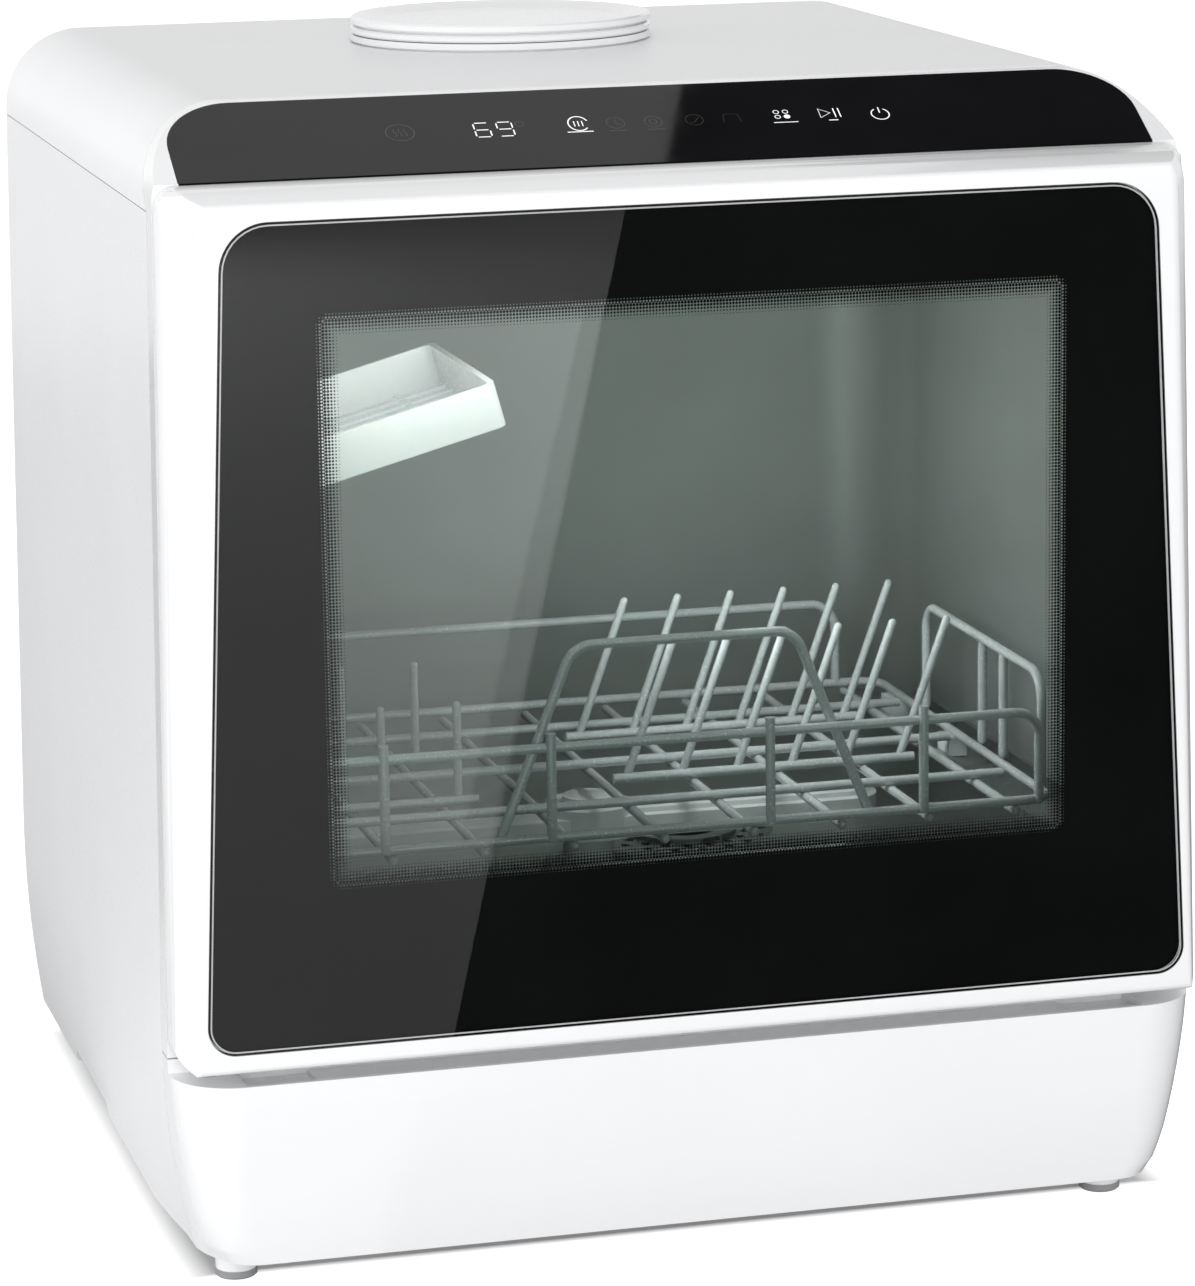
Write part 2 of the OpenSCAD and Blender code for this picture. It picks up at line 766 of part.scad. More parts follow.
module control_board() color("darkgreen") placed() {
    post_h = 6;
    board_z = post_h + 1.6;
    translate([board_x1 - board_w, board_y0, tub_over + eps]) {
        translate([0, 0, post_h]) cube([board_w, board_d, board_z - post_h]);
        for (x = [6, board_w - 6], y = [6, board_d - 6]) translate([x, y, 0]) cylinder(h = post_h, r = 3);
        // transformer, relay and capacitors
        translate([7, 10, board_z]) cube([24, 24, 18.4]);
        translate([41, 14, board_z]) cube([24, 12, 14.4]);
        for (i = [0:2]) translate([15 + 16 * i, 64, board_z]) cylinder(h = 16, r = 6);
    }
}

// ---------------------------------------------------------------- tub and water parts

module tub() color("lightslategray") placed() difference() {
    union() {
        translate([0, 0, tub_under]) linear_extrude(tub_over - tub_under) tub_plan_2d(tub_wall);
        along_y(flange_y, flange_y + tub_wall) round_box_2d(-tub_w / 2 - tub_wall - flange_w,
            tub_w / 2 + tub_wall + flange_w, tub_under - flange_w, tub_over + flange_w, 12);
    }
    translate([0, 0, tub_floor]) linear_extrude(tub_top - tub_floor) {
        tub_plan_2d(0);
        box_2d(-tub_w / 2, tub_w / 2, 0, flange_y + 1);
    }
    translate([sump_x, sump_y, 0]) cylinder(h = tub_floor + 1, r = sump_r - 6);
    translate([0, hub_y, 0]) cylinder(h = tub_floor + 1, r = hub_r + 4);
}

module tub_gasket() color("dimgray") placed() difference() {
    along_y(door_t + fit, rim_y + 7.7) mouth_2d(-0.1);
    along_y(0, reach) mouth_2d(-gasket_w);
    along_y(door_t + 2, rim_y + 5.5) mouth_2d(-1.5);
}

module sump() color("gray") placed() translate([sump_x, sump_y, 0]) difference() {
    union() {
        translate([0, 0, 84]) cylinder(h = tub_under - 84 - eps, r = sump_r);
        translate([0, 0, 36]) cylinder(h = 50, r = well_r);
        translate([0, 0, tray_z + eps]) cylinder(h = 20, r = 12);
    }
    translate([0, 0, 88]) cylinder(h = reach, r = sump_r - 4);
    translate([0, 0, 44]) cylinder(h = reach, r = well_r - 3);
}

module filter_cup() color("silver") placed() translate([sump_x, sump_y, 0]) difference() {
    union() {
        translate([0, 0, 62]) cylinder(h = tub_floor - 60, r = 19);
        translate([0, 0, tub_floor + eps]) cylinder(h = 2, r = 24);
    }
    translate([0, 0, 64]) cylinder(h = reach, r = 17);
    for (z = [68:9:104], a = [0:45:315])
        translate([0, 0, z]) rotate([90, 0, a]) cylinder(h = 30, r = 2.6);
}

module filter_plate() color("silver") placed() translate([sump_x, sump_y, tub_under])
    difference() {
    cylinder(h = 2, r = sump_r - 6.2);
    translate([0, 0, -1]) cylinder(h = 4, r = 19.3);
    for (ring = [0, 1], i = [0:17]) rotate([0, 0, 20 * i + 10 * ring])
        translate([28 + 7 * ring, 0, -1]) cylinder(h = 4, r = 2);
}

module wash_pump() color("dimgray") placed() translate([0, sump_y, 0]) {
    translate([-16, 0, pump_z]) rotate([0, 90, 0]) cylinder(h = 24, r = pump_r);
    translate([-92, 0, pump_z]) rotate([0, 90, 0]) cylinder(h = 77, r = pump_r - 6);
    translate([7, 0, pump_z]) rotate([0, 90, 0]) cylinder(h = sump_x - well_r - 7 - fit, r = 12);
    translate([0, 0, pump_z]) cylinder(h = pump_r + 5, r = pipe_r);
    for (x = [-80, -34]) block(x, x + 12, -22, 22, tray_z + eps, pump_z);
}

module drain_pump() color("black") placed() translate([sump_x + well_r + fit, sump_y, 48]) {
    rotate([0, 90, 0]) {
        cylinder(h = 17, r = 7);
        translate([0, 0, 16]) cylinder(h = 20, r = 20);
        translate([0, 0, 35]) cylinder(h = 35, r = 16);
    }
    block(40, 60, -14, 14, tray_z + eps - 48, 0);
}

module feed_pipe() color("darkgray") placed() {
    z = 101;
    start = pump_z + pump_r + 5 + eps;
    translate([0, sump_y, start]) cylinder(h = z - start, r = pipe_r);
    translate([0, hub_y, z]) cylinder(h = 8, r = pipe_r);
    rod([0, hub_y, z], [0, sump_y, z], pipe_r - 0.5, true, true);
}

module spray_hub() color("gray") placed() translate([0, hub_y, 0]) {
    translate([0, 0, 109 + eps]) cylinder(h = tub_floor - 108, r = hub_r + 3.6);
    translate([0, 0, tub_floor + eps]) cylinder(h = 3, r = 20);
    translate([0, 0, tub_floor]) cylinder(h = arm_z + 15, r = hub_r);
    translate([0, 0, tub_floor]) cylinder(h = arm_z - fit, r = hub_r + 3);
    translate([0, 0, tub_floor + arm_z + 13 + fit]) cylinder(h = 3, r = hub_r + 3);
}

module spray_arm() color("silver") placed() translate([0, hub_y, tub_floor + arm_z]) difference() {
    tip = arm_len / 2 - arm_w / 2;
    union() {
        translate([0, 0, 0]) linear_extrude(9) {
            box_2d(-tip, tip, -arm_w / 2, arm_w / 2);
            for (m = [-1, 1]) translate([m * tip, 0]) circle(arm_w / 2);
        }
        translate([0, 0, 3]) linear_extrude(8) {
            box_2d(-tip, tip, -arm_w / 2 + 5, arm_w / 2 - 5);
            for (m = [-1, 1]) translate([m * tip, 0]) circle(arm_w / 2 - 5);
        }
        cylinder(h = 13, r = 19);
    }
    translate([0, 0, -1]) cylinder(h = 20, r = hub_r + run_fit);
    for (x = [36:22:tip], m = [-1, 1])
        translate([m * x, m * 3, 4]) cylinder(h = 20, r = 1.8);
}

module water_tank() color("gainsboro") placed() difference() {
    union() {
        block(tank_x0, tank_x1, tank_y0, tank_y1, tray_z + eps, tank_top);
        block(loft_x0, loft_x1, filler_y - loft_front, tank_y1, tub_over + 4, tank_top);
    }
    block(tank_x0 + tank_wall, tank_x1 - tank_wall, tank_y0 + tank_wall, tank_y1 - tank_wall,
        tray_z + tank_wall, tank_top - tank_wall);
    block(loft_x0 + tank_wall, loft_x1 - tank_wall, filler_y - loft_front + tank_wall,
        tank_y1 - tank_wall, tub_over + 4 + tank_wall, tank_top - tank_wall);
    translate([filler_x, filler_y, tank_top - 10]) cylinder(h = 20, r = neck_d / 2 + wall + fit);
}

module filler_collar() color("white") placed() translate([filler_x, filler_y, 0]) difference() {
    union() {
        translate([0, 0, body_h + eps]) cylinder(h = collar_h - eps, r = lid_d / 2);
        translate([0, 0, tank_top - 6]) cylinder(h = body_h - tank_top + 8, r = neck_d / 2 + wall);
    }
    translate([0, 0, tank_top - 10]) cylinder(h = reach, r = neck_d / 2);
    // drip groove under the rim's edge
    translate([0, 0, body_h - 1]) difference() {
        cylinder(h = 1.8, r = lid_d / 2 + 1);
        cylinder(h = 1.8, r = lid_d / 2 - 2);
    }
}

module filler_lid() color("white") placed() translate([filler_x, filler_y, lid_z]) {
    r = lid_d / 2;
    rotate_extrude() {
        // lower rim, neck and dished top in one turned form
        polygon([
            [0, 0], [r - 1, 0], [r, 0.8], [r, 2.4], [r - 1, 3.1], [r - 3, 3.1], [r - 3, 3.9],
            [r - 1, 3.9], [r, 4.7], [r, 6.6], [r - 1, 7.4], [r - 4, 7.4], [r - 12, 5.4], [0, 4.6]
        ]);
    }
    difference() {
        translate([0, 0, -9]) cylinder(h = 9.5, r = neck_d / 2 - 0.6);
        translate([0, 0, -10]) cylinder(h = 10, r = neck_d / 2 - 3.2);
    }
}

module fan_housing() color("dimgray") placed() {
    difference() {
        union() {
            translate([fan_x - 16, fan_y, fan_z]) rotate([0, 90, 0]) cylinder(h = 30, r = fan_r);
            block(fan_x - 16, fan_x + 14, fan_y, back_y - eps, fan_z - fan_r, fan_z);
            block(fan_x - 16, fan_x - 12, fan_y - 20, back_y - eps, fan_z - 10,
                heater_z - eps);
        }
        translate([fan_x - 12, fan_y, fan_z]) rotate([0, 90, 0]) cylinder(h = 23, r = fan_r - 3);
        translate([fan_x, fan_y, fan_z]) rotate([0, 90, 0]) cylinder(h = 30, r = 21);
        block(fan_x - 12, fan_x + 11, fan_y, reach, fan_z - fan_r + 3, fan_z - 4);
    }
    translate([fan_x - 13, fan_y, fan_z]) rotate([0, 90, 0]) cylinder(h = 22, r = 3);
}

module fan_impeller() color("lightgray") placed() translate([fan_x - 9, fan_y, fan_z])
    rotate([0, 90, 0]) difference() {
        union() {
            cylinder(h = 1.6, r = 26);
            cylinder(h = 14, r = 7);
            for (a = [0:20:340]) rotate([0, 0, a]) translate([20, -0.6, 0])
                rotate([0, 0, 24]) cube([5, 1.2, 16]);
        }
        translate([0, 0, -1]) cylinder(h = 20, r = 3 + run_fit);
    }

module heater_box() color("silver") placed() difference() {
    block(fan_x - 16, fan_x + 14, fan_y - 26, back_y - eps, heater_z, heater_z + 35);
    for (i = [0:5]) block(fan_x - 12, fan_x + 20, fan_y - 22 + 9 * i, fan_y - 16 + 9 * i,
        heater_z + 4, heater_z + 31);
}

module water_inlet() color("white") placed() translate([inlet_x, 0, port_z]) rotate([-90, 0, 0]) {
    translate([0, 0, pocket_y + eps]) cylinder(h = 3, r = 15);
    difference() {
        translate([0, 0, pocket_y]) cylinder(h = 21, r = 13.2);
        translate([0, 0, pocket_y + 8]) cylinder(h = 20, r = 10.5);
    }
    translate([0, 0, pocket_y - 26]) cylinder(h = 27, r = 10);
    translate([-14, -14, pocket_y - 44]) cube([28, 28, 20]);
}

module drain_spigot() color("gray") placed() translate([drain_x, 0, port_z]) rotate([-90, 0, 0])
    difference() {
        union() {
            translate([0, 0, pocket_y - 20]) cylinder(h = 40, r = 8);
            translate([0, 0, pocket_y + eps]) cylinder(h = 2, r = 12);
            translate([0, 0, pocket_y + 18]) cylinder(h = 3, r1 = 9.4, r2 = 8);
            translate([0, 0, pocket_y - 16]) cylinder(h = 14 - eps, r = 11);
        }
        translate([0, 0, pocket_y - 21]) cylinder(h = 60, r = 6);
    }

module cord_gland() color("black") placed() translate([gland_x, 0, gland_z]) rotate([-90, 0, 0]) {
    translate([0, 0, back_y + wall + eps]) cylinder(h = 2.4, r = 9);
    translate([0, 0, back_y - 5]) cylinder(h = wall + 6, r = 6);
    translate([0, 0, back_y - 6]) cylinder(h = 6 - eps, r = 9);
}

// ---------------------------------------------------------------- rack

module rack_rail() placed() {
    inner = tub_w / 2 - 26;
    intersection() {
        block(inner, tub_w / 2 - eps, cheek_d, tub_back - 6, rail_top - 3, rail_top);
        linear_extrude(rail_top + 1) tub_plan_2d(-eps);
    }
    block(inner, inner + 2, cheek_d, tub_back - 6, rail_top - 1, rail_top + 2.5);
    block(tub_w / 2 - 2.5, tub_w / 2 - eps, cheek_d, tub_back - tub_r, rail_top - 10, rail_top + 6);
}

module rack_rail_right() color("silver") rack_rail();

module rack_rail_left() color("silver") mirror([1, 0, 0]) rack_rail();

module rack_frame() color("gainsboro") placed() {
    w = rack_w / 2;
    top_z = rack_z + front_wire_h;
    translate([0, 0, rack_z]) bent_wire(
        [[-w, rack_y0], [w, rack_y0], [w, rack_y1], [-w, rack_y1]], ring_r, wire_r, true);
    translate([0, rack_y0, 0]) rotate([90, 0, 0]) bent_wire(
        [[-w + 6, rack_z], [-w + 6, top_z], [w - 6, top_z], [w - 6, rack_z]], ring_r - 2, wire_r);
    for (x = [-115, -47, 44, 109]) rod(
        [x, rack_y0 - wire_shift, rack_z - 1], [x, rack_y0 - wire_shift, top_z + 6], wire_r);
    // rear wire between two bent ends
    translate([0, rack_y1, 0]) rotate([90, 0, 0]) bent_wire(
        [[-w + 20, rack_z], [-w + 20, top_z], [w - 20, top_z], [w - 20, rack_z]], ring_r, wire_r);
}

module rack_sides() color("gainsboro") placed() both_sides()
    translate([rack_w / 2, 0, 0]) rotate([90, 0, 90]) {
        foot_z = rack_z + wire_gap;
        top_z = rack_z + side_wire_h;
        y0 = rack_y0 + ring_r + wire_r;
        y1 = rack_y0 + 164;
        bent_wire([[y0, foot_z], [y0, top_z], [y1, top_z], [y1, foot_z]], ring_r, wire_r);
        for (y = [y0 + 51, y0 + 78])
            rod([y, foot_z, wire_shift], [y, top_z, wire_shift], wire_r, true);
    }

module rack_floor() color("gainsboro") placed() {
    z = rack_z - wire_gap;
    span = rack_w / 2 - ring_r - 4;
    side = rack_w / 2 - wire_gap;
    for (i = [0:floor_wires - 1]) {
        x = -span + 2 * span * i / (floor_wires - 1);
        rod([x, rack_y0, z], [x, rack_y1, z], wire_r, true, true);
    }
    for (y = [cross_y1, cross_y2, cross_y3])
        rod([-side, y, z + wire_weld], [side, y, z + wire_weld], wire_r);
}

module plate_tines() color("gainsboro") placed() {
    x0 = 8;
    len = tine_pitch * (tine_count - 1);
    for (y = [tine_y1, tine_y2]) {
        rod([x0 - 6, y, rack_z], [x0 + len + 6, y, rack_z], wire_r);
        for (i = [0:tine_count - 1]) tine([x0 + tine_pitch * i, y + 1, rack_z], 62, tine_lean);
    }
    for (y = [tine_y1 - short_tine_shift, tine_y2 - short_tine_shift]) {
        rod([-140, y, rack_z], [-60, y, rack_z], wire_r);
        for (x = [-132:32:-68]) tine([x, y + 1, rack_z], 40, 0);
    }
}

// One plate tine: its foot, length and lean towards +X.
module tine(p, len, lean) {
    tip = p + len * [sin(lean), 0, cos(lean)];
    rod(p, tip, wire_r - 0.3, false, true);
}

module rack_handle() color("gainsboro") placed()
    translate([handle_x, rack_y0 + wire_gap, 0]) rotate([90, 0, 0]) bent_wire([
        [-77, rack_z], [-handle_w / 2, rack_z + handle_h],
        [handle_w / 2, rack_z + handle_h], [77, rack_z]
    ], ring_r, wire_r);

module rack_shoes() color("dimgray") placed() both_sides() for (y = [rack_y1 - 106, rack_y1 - 26])
    block(rack_w / 2 - 4, rack_w / 2 + 4, y - shoe_len / 2, y + shoe_len / 2,
        rail_top + fit, rack_z - wire_r - eps);

// ---------------------------------------------------------------- cup shelf

module shelf_bracket() color("silver") placed() {
    wall_x = -tub_w / 2 + eps;
    y0 = shelf_y - 8;
    y1 = shelf_y + shelf_d + 8;
    block(wall_x, wall_x + 2, y0, y1, shelf_z - 14, shelf_z + 14);
    for (y = [y0, y1 - 4]) {
        block(wall_x, shelf_x, y, y + 4, shelf_z - barrel_r, shelf_z + barrel_r);
        translate([shelf_x, y, shelf_z]) rotate([-90, 0, 0]) cylinder(h = 4, r = barrel_r);
    }
    translate([shelf_x, y0, shelf_z]) rotate([-90, 0, 0]) cylinder(h = y1 - y0, r = shelf_pin_r);
}

module cup_shelf() color("gainsboro") placed()
    translate([shelf_x, shelf_y, shelf_z]) rotate([0, -shelf_tilt, 0]) difference() {
        h = shelf_t / 2;
        union() {
            difference() {
                block(2, shelf_len, 0, shelf_d, -h, h);
                block(barrel_r + 2, shelf_len - 2.5, 2.5, shelf_d - 2.5, -h + 2, h + 1);
                // drip slots
                for (y = [12:12:shelf_d - 14]) block(16, shelf_len - 12, y, y + 6, -reach, 0);
                for (x = [24:24:shelf_len - 18]) block(x, x + 12, -1, shelf_d + 1, -3, h - 4);
            }
            for (x = [barrel_r + 30, barrel_r + 66]) block(x, x + 2.5, 0, shelf_d, -h, -h + 6);
            rotate([-90, 0, 0]) cylinder(h = shelf_d, r = barrel_r);
        }
        translate([0, -1, 0]) rotate([-90, 0, 0]) cylinder(h = shelf_d + 2, r = shelf_pin_r + run_fit);
        block(-barrel_r, barrel_r + 3, 30, shelf_d - 30, -h - 1, h + 1);
    }

// ---------------------------------------------------------------- door

module latch_block() color("lightgray") placed() {
    z0 = tub_over + flange_w + eps;
    difference() {
        block(-18, 18, rim_back + eps, rim_back + 24, z0, z0 + 19);
        block(-latch_half - 3, latch_half + 3, 0, rim_back + 20, 0, z0 + 16);
    }
}

module door_frame() color("white") placed() difference() {
    union() {
        difference() {
            door_form();
            door_hollow(ledge_back);
        }
        // hinge bosses
        both_sides() for (x = [hinge_arm_x - 11, hinge_arm_x + hinge_slot_w / 2])
            translate([x, hinge_y, hinge_z]) rotate([0, 90, 0])
                cylinder(h = 11 - hinge_slot_w / 2, r = hinge_boss_r);
    }
    along_y(-1, glass_t + eps) glass_2d(fit);
    along_y(0, reach) window_2d(16);
    both_sides() {
        translate([hinge_arm_x - 14, hinge_y, hinge_z]) rotate([0, 90, 0])
            cylinder(h = 28, r = hinge_pin_r + run_fit);
        hinge_arm_gap();
    }
}

// Room for a hinge arm while the door turns around it.
module hinge_arm_gap() block(hinge_arm_x - hinge_slot_w / 2, hinge_arm_x + hinge_slot_w / 2,
    hinge_y - hinge_boss_r - 0.8, reach, belt_z - 1, hinge_z + hinge_boss_r + 1.3);

module door_glass() color("black") placed() along_y(0, glass_t) glass_2d(0);

module door_inner_panel() color("silver") placed() {
    plate_y = door_t - skin_t;
    difference() {
        union() {
            intersection() {
                along_y(plate_y, door_t) door_outline_2d(door_wall + 0.1);
                between_cheeks() rolled_hollow_2d(cheek_d, cheek_r, door_wall + 0.1);
            }
            along_y(plate_y, plug_y) plug_2d(0);
        }
        along_y(0, plug_y - skin_t) difference() {
            plug_2d(-skin_t);
            window_2d(skin_t);
        }
        along_y(0, reach) window_2d(0);
        block(-cup_w / 2 - 0.1, cup_w / 2 + 0.1, 0, reach, cup_z0 - 0.1, cup_z1 + 0.1);
        block(-latch_half - 0.1, latch_half + 0.1, 0, reach, latch_z - 0.1, latch_z + 4.1);
        both_sides() hinge_arm_gap();
    }
}

module window_glass() color("gray") placed() along_y(door_t + 0.6, door_t + 3.6) window_2d(-2);

module window_seal() color("black") placed() difference() {
    along_y(door_t - 0.8, door_t + 5) window_2d(-0.1);
    along_y(0, reach) window_2d(-5);
    along_y(door_t + 0.6 - eps, door_t + 3.6 + eps) window_2d(-2 + eps);
}

module door_latch() color("silver") placed() {
    y0 = door_t - skin_t - 4;
    block(-latch_half, latch_half, y0, hook_y, latch_z, latch_z + 4);
    block(-latch_half - 6, latch_half + 6, y0, door_t - skin_t - eps, latch_z - 6, latch_z + 10);
    along_x(-latch_half, latch_half) polygon([
        [hook_y - 5, latch_z + 3], [hook_y, latch_z + 3], [hook_y, latch_z + 5],
        [hook_y - 2.5, latch_z + 8], [hook_y - 4, latch_z + 8]
    ]);
}

module detergent_cup() color("gray") placed() {
    half = cup_w / 2;
    floor_y = door_t - 14;
    difference() {
        block(-half, half, floor_y, plug_y + 0.9, cup_z0, cup_z1);
        block(-half + 2, half - 2, floor_y + 2, reach, cup_z0 + 2, cup_z1 - 2);
    }
    // guides of the sliding cover
    for (m = [0, 1]) translate([0, 0, m * (cup_z0 + cup_z1)]) mirror([0, 0, m]) {
        block(-half, half + cover_travel, plug_y + eps, plug_y + 2.5, cup_z0 - 3, cup_z0 - 1);
        block(-half, half + cover_travel, plug_y + 2, plug_y + 2.5, cup_z0 - 3, cup_z0 + 0.3);
        block(-half, half, plug_y + eps, plug_y + 0.9, cup_z0 - 3, cup_z0 + 1);
    }
}

module detergent_cover() color("lightgray") placed() {
    half = cup_w / 2;
    y0 = plug_y + 0.9 + fit;
    difference() {
        union() {
            block(-half, half, y0, y0 + 0.5, cup_z0 - 0.7, cup_z1 + 0.7);
            block(-half, half, y0, y0 + 1.3, cup_z0 + 0.6, cup_z1 - 0.6);
        }
        translate([half - 12, y0 + 0.6, 0]) cube([7, 10, reach]);
    }
}

module hinge_bracket() placed() {
    arm_half = hinge_arm_w / 2;
    plate_y = cheek_d + 0.2;
    along_x(hinge_arm_x - arm_half, hinge_arm_x + arm_half) {
        translate([hinge_y, hinge_z]) circle(hinge_h - 0.5);
        box_2d(hinge_y, plate_y + 1, hinge_z - hinge_h + 0.5, hinge_z + hinge_h - 0.5);
    }
    translate([hinge_arm_x - hinge_pin_len / 2, hinge_y, hinge_z]) rotate([0, 90, 0])
        cylinder(h = hinge_pin_len, r = hinge_pin_r);
    block(hinge_arm_x - 12, hinge_arm_x + 14, plate_y, plate_y + 3 - eps, 60, hinge_z + 9);
}

module hinge_bracket_right() color("silver") hinge_bracket();

module hinge_bracket_left() color("silver") mirror([1, 0, 0]) hinge_bracket();

side_panel_left();
side_panel_right();
top_cover();
front_frame();
kick_panel();
sill_strip();
base_tray();
back_panel();
foot_front_left();
foot_front_right();
foot_rear_left();
foot_rear_right();
control_glass();
display_board();
control_board();
tub();
tub_gasket();
sump();
filter_cup();
filter_plate();
wash_pump();
drain_pump();
feed_pipe();
spray_hub();
spray_arm();
water_tank();
filler_collar();
filler_lid();
fan_housing();
fan_impeller();
heater_box();
rack_rail_left();
rack_rail_right();
rack_frame();
rack_sides();
rack_floor();
plate_tines();
rack_handle();
rack_shoes();
shelf_bracket();
cup_shelf();
latch_block();
door_frame();
door_glass();
door_inner_panel();
window_glass();
window_seal();
door_latch();
detergent_cup();
detergent_cover();
hinge_bracket_left();
hinge_bracket_right();
water_inlet();
drain_spigot();
cord_gland();
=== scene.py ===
"""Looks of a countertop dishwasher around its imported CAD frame. Blender 4.5."""

import json
import math

import bmesh
import bpy
from mathutils import Matrix, Vector
from mathutils.geometry import tessellate_polygon


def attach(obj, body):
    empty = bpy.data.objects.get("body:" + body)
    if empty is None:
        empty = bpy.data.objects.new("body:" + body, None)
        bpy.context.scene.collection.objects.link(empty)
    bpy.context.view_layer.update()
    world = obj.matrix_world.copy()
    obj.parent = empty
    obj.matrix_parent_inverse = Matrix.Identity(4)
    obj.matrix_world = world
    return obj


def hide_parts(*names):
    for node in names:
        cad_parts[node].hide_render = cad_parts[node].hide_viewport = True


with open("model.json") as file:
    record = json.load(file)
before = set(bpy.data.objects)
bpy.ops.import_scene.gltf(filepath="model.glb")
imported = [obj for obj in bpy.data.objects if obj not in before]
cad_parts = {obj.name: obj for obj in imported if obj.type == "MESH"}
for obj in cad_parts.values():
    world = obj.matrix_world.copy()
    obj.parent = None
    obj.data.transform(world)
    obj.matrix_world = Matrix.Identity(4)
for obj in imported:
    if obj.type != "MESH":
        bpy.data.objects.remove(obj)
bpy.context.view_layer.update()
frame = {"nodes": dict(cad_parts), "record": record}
nodes = frame["nodes"]

# ---------------------------------------------------------------- places
# Millimetres: x from the middle, y back from the door's face, z up from the table.
FACE = -205.5
# The touch panel's slope: its origin near the lower edge, and its angle.
SLOPE_Y = 31.0
SLOPE_Z = 437.2
SLOPE_A = math.radians(29.83)


def at(x, y, z):
    """A point of the machine in metres."""
    return Vector((x / 1000, (y + FACE) / 1000, z / 1000))


def on_slope(u, v, w=0.0):
    """A point of the control slope: u across, v up the slope, w out of it."""
    c, s = math.cos(SLOPE_A), math.sin(SLOPE_A)
    return at(u, SLOPE_Y + v * c - w * s, SLOPE_Z + v * s + w * c)


# ---------------------------------------------------------------- node helpers
# Most of a noise texture's values lie between these two.
NOISE_LOW = 0.3
NOISE_HIGH = 0.7


def graph(name):
    """A new node material; gives the material, its tree and its output."""
    m = bpy.data.materials.new(name)
    m.use_nodes = True
    t = m.node_tree
    t.nodes.clear()
    return m, t, t.nodes.new("ShaderNodeOutputMaterial")


def noise(t, scale, detail=2.0, stretch=(1, 1, 1), rough=0.5):
    """Noise on the object's own coordinates, stretched by the given factors."""
    tc = t.nodes.new("ShaderNodeTexCoord")
    mp = t.nodes.new("ShaderNodeMapping")
    mp.inputs["Scale"].default_value = stretch
    n = t.nodes.new("ShaderNodeTexNoise")
    n.inputs["Scale"].default_value = scale
    n.inputs["Detail"].default_value = detail
    n.inputs["Roughness"].default_value = rough
    t.links.new(tc.outputs["Object"], mp.inputs["Vector"])
    t.links.new(mp.outputs["Vector"], n.inputs["Vector"])
    return n.outputs["Fac"]


def spread(t, fac, lo, hi):
    """Maps a noise value onto lo..hi."""
    r = t.nodes.new("ShaderNodeMapRange")
    r.inputs["From Min"].default_value = NOISE_LOW
    r.inputs["From Max"].default_value = NOISE_HIGH
    r.inputs["To Min"].default_value = lo
    r.inputs["To Max"].default_value = hi
    t.links.new(fac, r.inputs["Value"])
    return r.outputs["Result"]


def tones(t, fac, a, b):
    """Mixes two colours by a noise value."""
    r = t.nodes.new("ShaderNodeValToRGB")
    r.color_ramp.elements[0].position = NOISE_LOW
    r.color_ramp.elements[0].color = (*a, 1)
    r.color_ramp.elements[1].position = NOISE_HIGH
    r.color_ramp.elements[1].color = (*b, 1)
    t.links.new(fac, r.inputs["Fac"])
    return r.outputs["Color"]


def bump(t, fac, depth, strength):
    """A bump of the given depth in metres."""
    b = t.nodes.new("ShaderNodeBump")
    b.inputs["Strength"].default_value = strength
    b.inputs["Distance"].default_value = depth
    t.links.new(fac, b.inputs["Height"])
    return b.outputs["Normal"]


def shade(c, k):
    """A colour times k."""
    return tuple(min(1.0, v * k) for v in c)


def greatest(t, outputs):
    """The greatest of several values."""
    most = outputs[0]
    for other in outputs[1:]:
        pick = t.nodes.new("ShaderNodeMath")
        pick.operation = "MAXIMUM"
        t.links.new(most, pick.inputs[0])
        t.links.new(other, pick.inputs[1])
        most = pick.outputs[0]
    return most


def product(t, a, b):
    """One value times another, which may be a plain number."""
    times = t.nodes.new("ShaderNodeMath")
    times.operation = "MULTIPLY"
    t.links.new(a, times.inputs[0])
    if isinstance(b, float):
        times.inputs[1].default_value = b
    else:
        t.links.new(b, times.inputs[1])
    return times.outputs[0]


COAT_ROUGH = 0.08
SUBSURFACE_DEPTH = 0.004
LEAST_ROUGH = 0.02


def surface(
    name,
    color,
    rough,
    metal=0.0,
    vary=0.02,
    vary_scale=14.0,
    grain=900.0,
    depth=0.00002,
    strength=0.3,
    stretch=(1, 1, 1),
    rough_vary=0.05,
    coat=0.0,
    specular=0.5,
    subsurface=0.0,
):
    """A moulded, painted or metal surface: drifting tone, uneven gloss, fine grain."""
    m, t, out = graph(name)
    p = t.nodes.new("ShaderNodeBsdfPrincipled")
    p.inputs["Metallic"].default_value = metal
    p.inputs["Coat Weight"].default_value = coat
    p.inputs["Coat Roughness"].default_value = COAT_ROUGH
    p.inputs["Specular IOR Level"].default_value = specular
    if subsurface:
        p.inputs["Subsurface Weight"].default_value = subsurface
        p.inputs["Subsurface Scale"].default_value = SUBSURFACE_DEPTH
    drift = noise(t, vary_scale, 3.0)
    t.links.new(
        tones(t, drift, shade(color, 1 - vary), shade(color, 1 + vary)),
        p.inputs["Base Color"],
    )
    fine = noise(t, grain, 3.0, stretch)
    t.links.new(
        spread(t, fine, max(LEAST_ROUGH, rough - rough_vary), rough + rough_vary),
        p.inputs["Roughness"],
    )
    t.links.new(bump(t, fine, depth, strength), p.inputs["Normal"])
    t.links.new(p.outputs["BSDF"], out.inputs["Surface"])
    return m


STREAK_GRAIN = 600.0
STREAK_DEPTH = 0.000012
STREAK_BUMP = 0.5
CLOUD_SCALE = 9.0
CLOUD_VARY = 0.05


